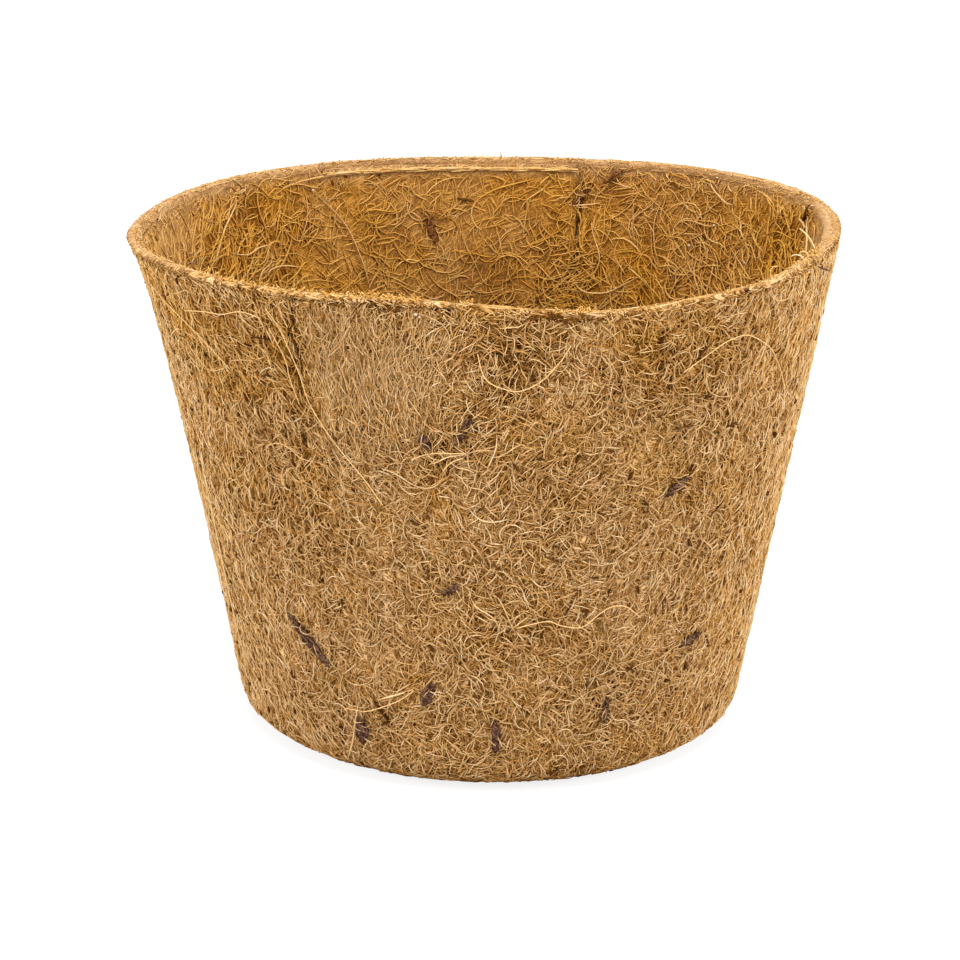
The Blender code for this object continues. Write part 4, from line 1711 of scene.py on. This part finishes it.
@dataclass
class Studio:
    """White floor, soft light and the photograph's camera."""

    distance: float = 0.560
    camera_height: float = 0.22027
    pitch: float = 0.3081
    yaw: float = -0.0037
    roll: float = 0.0114
    focal_px: float = 3290.76
    image_px: float = 960.0
    sensor_mm: float = 36.0
    aim: tuple[float, float, float] = (0.0, 0.0, 0.05)
    floor_radius: float = 3.0
    floor_drop: float = 0.0001
    floor_glow: float = 0.82
    sky: float = 0.66
    lamps: tuple[tuple[str, tuple[float, float, float], float, float], ...] = (
        ("overhead_softbox", (0.05, -0.35, 1.0), 0.6, 9.0),
        ("left_softbox", (-0.85, -0.45, 0.45), 0.5, 6.3),
        ("right_softbox", (0.85, -0.40, 0.45), 0.5, 6.4),
    )

    def camera(self) -> None:
        """Places the camera at the photograph's viewpoint."""
        data = bpy.data.cameras.new("photo_camera")
        data.sensor_width = self.sensor_mm
        data.lens = self.focal_px / self.image_px * self.sensor_mm
        data.clip_start, data.clip_end = 0.01, 20.0
        cp, sp = math.cos(self.pitch), math.sin(self.pitch)
        cy, sy = math.cos(self.yaw), math.sin(self.yaw)
        forward = Vector((sy * cp, cy * cp, -sp))
        level = Vector((cy, -sy, 0.0))
        upward = level.cross(forward)
        right = math.cos(self.roll) * level + math.sin(self.roll) * upward
        up = math.cos(self.roll) * upward - math.sin(self.roll) * level
        turn = Matrix((right, up, -forward)).transposed().to_4x4()
        camera = placed("photo_camera", data)
        camera.matrix_world = Matrix.Translation((0, -self.distance, self.camera_height)) @ turn
        bpy.context.scene.camera = camera

    def floor(self) -> None:
        """Lays a white floor that keeps a faint shadow of the pot."""
        select()
        bpy.ops.mesh.primitive_circle_add(
            vertices=96, radius=self.floor_radius, fill_type="NGON", location=(0, 0, -self.floor_drop)
        )
        floor = bpy.context.active_object
        floor.name = "studio_floor"
        material, tree, shader = new_material("matt_white_paper")
        feed(tree, shader, {"Base Color": (0.8, 0.8, 0.8, 1), "Roughness": 0.9})
        camera_ray = add_node(tree, "LightPath", {}, "Is Camera Ray")
        paper = add_node(tree, "BsdfDiffuse", {"Color": (0.25, 0.25, 0.25, 1)})
        glow = add_node(tree, "Emission", {"Color": (1, 1, 1, 1), "Strength": self.floor_glow})
        seen = add_node(tree, "AddShader", {0: paper, 1: glow})
        mixed = add_node(tree, "MixShader", {0: camera_ray, 1: shader.outputs[0], 2: seen})
        feed(tree, tree.nodes["Material Output"], {"Surface": mixed})
        floor.data.materials.append(material)
        floor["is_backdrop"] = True

    def light(self) -> None:
        """Sets an even white sky, seen as white, and soft lamps above and at the sides."""
        world = bpy.data.worlds.new("studio_sky")
        bpy.context.scene.world = world
        world.use_nodes = True
        tree = world.node_tree
        camera_ray = add_node(tree, "LightPath", {}, "Is Camera Ray")
        sky = add_node(tree, "Background", {"Color": (1.0, 0.99, 0.97, 1), "Strength": self.sky})
        white = add_node(tree, "Background", {"Color": (1, 1, 1, 1), "Strength": 1.0})
        mixed = add_node(tree, "MixShader", {0: camera_ray, 1: sky, 2: white})
        feed(tree, tree.nodes["World Output"], {"Surface": mixed})
        for name, place, size, energy in self.lamps:
            lamp = bpy.data.lights.new(name, "AREA")
            lamp.shape = "DISK"
            lamp.size = size
            lamp.energy = energy
            box = placed(name, lamp)
            box.location = place
            box.rotation_euler = (Vector(self.aim) - box.location).to_track_quat("-Z", "Y").to_euler()

    def build(self) -> None:
        """Makes camera, floor and light."""
        self.camera()
        self.floor()
        self.light()
        bpy.context.scene.view_settings.view_transform = "Standard"


def nodes_ending(end: str, face: Face) -> tuple[str, ...]:
    """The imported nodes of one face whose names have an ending.

    Args:
        end: The names' ending.
        face: The face that they lie on.

    Returns:
        The names in order.
    """
    inner = face is Face.INNER
    return tuple(sorted(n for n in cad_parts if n.endswith(end) and n.startswith("inner") == inner))


def main() -> None:
    """Dresses the pot and sets up the studio."""
    logging.basicConfig(level=logging.INFO, format="%(name)s: %(message)s")
    Studio().build()
    blanks = ["front_wall_blank", "rear_wall_blank"]
    shape = WallShape(blanks)
    mottles = {
        Face.OUTER: Mottle(3, OUTER_SPOTS, (0.45, 0.10, 0.5, 0.0)),
        # the inner face is warmer, partly as painted warm light that bounces within the pot
        Face.INNER: Mottle(4, INNER_SPOTS, (0.42, 0.78, 0.5, 0.0)),
    }
    FeltBody(shape, mottles).build()
    strand = StrandFinish("coir_strand", STRAND_STOPS).build()
    flakes = {face: nodes_ending("_chip", face) for face in Face}
    for face, seed, seam, low, layers, routes, shade in (
        (Face.OUTER, 11, 236.5, 70 * MM, OUTER_LAYERS + CRACK_SHADE_STRANDS, OUTER_ROUTES + SPECKS, 0.7),
        (Face.INNER, 23, 73.5, 68 * MM, INNER_LAYERS, INNER_ROUTES, 0.26),
    ):
        rng = np.random.default_rng(seed)
        wall = WallFibres(shape, face, mottles[face], rng, seam, low, layers, routes, flakes[face], shade)
        wall.build(strand)
    solids = ray_tree([*blanks, "base_disc"])
    BaseFibres(solids, np.random.default_rng(5)).build(strand)
    RimFringe(shape, solids, np.random.default_rng(31)).build(strand)
    for face in Face:
        LooseFibres(face, nodes_ending("_fibre", face)).build("loose_fibres", "loose_coir", strand)
    for face, name, stops in (
        (Face.OUTER, "coconut_husk_flake", CHIP_STOPS),
        (Face.INNER, "coconut_skin_flake", SKIN_STOPS),
    ):
        finish = FeltFinish(name, stops, fibre_mm=(2.0, 0.4), roughness=0.7).build()
        HuskChips(face, flakes[face]).build("husk_flakes", "husk", finish)
    LatexDrops().build(shape)
    low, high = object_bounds()


if __name__ == "__main__":
    main()
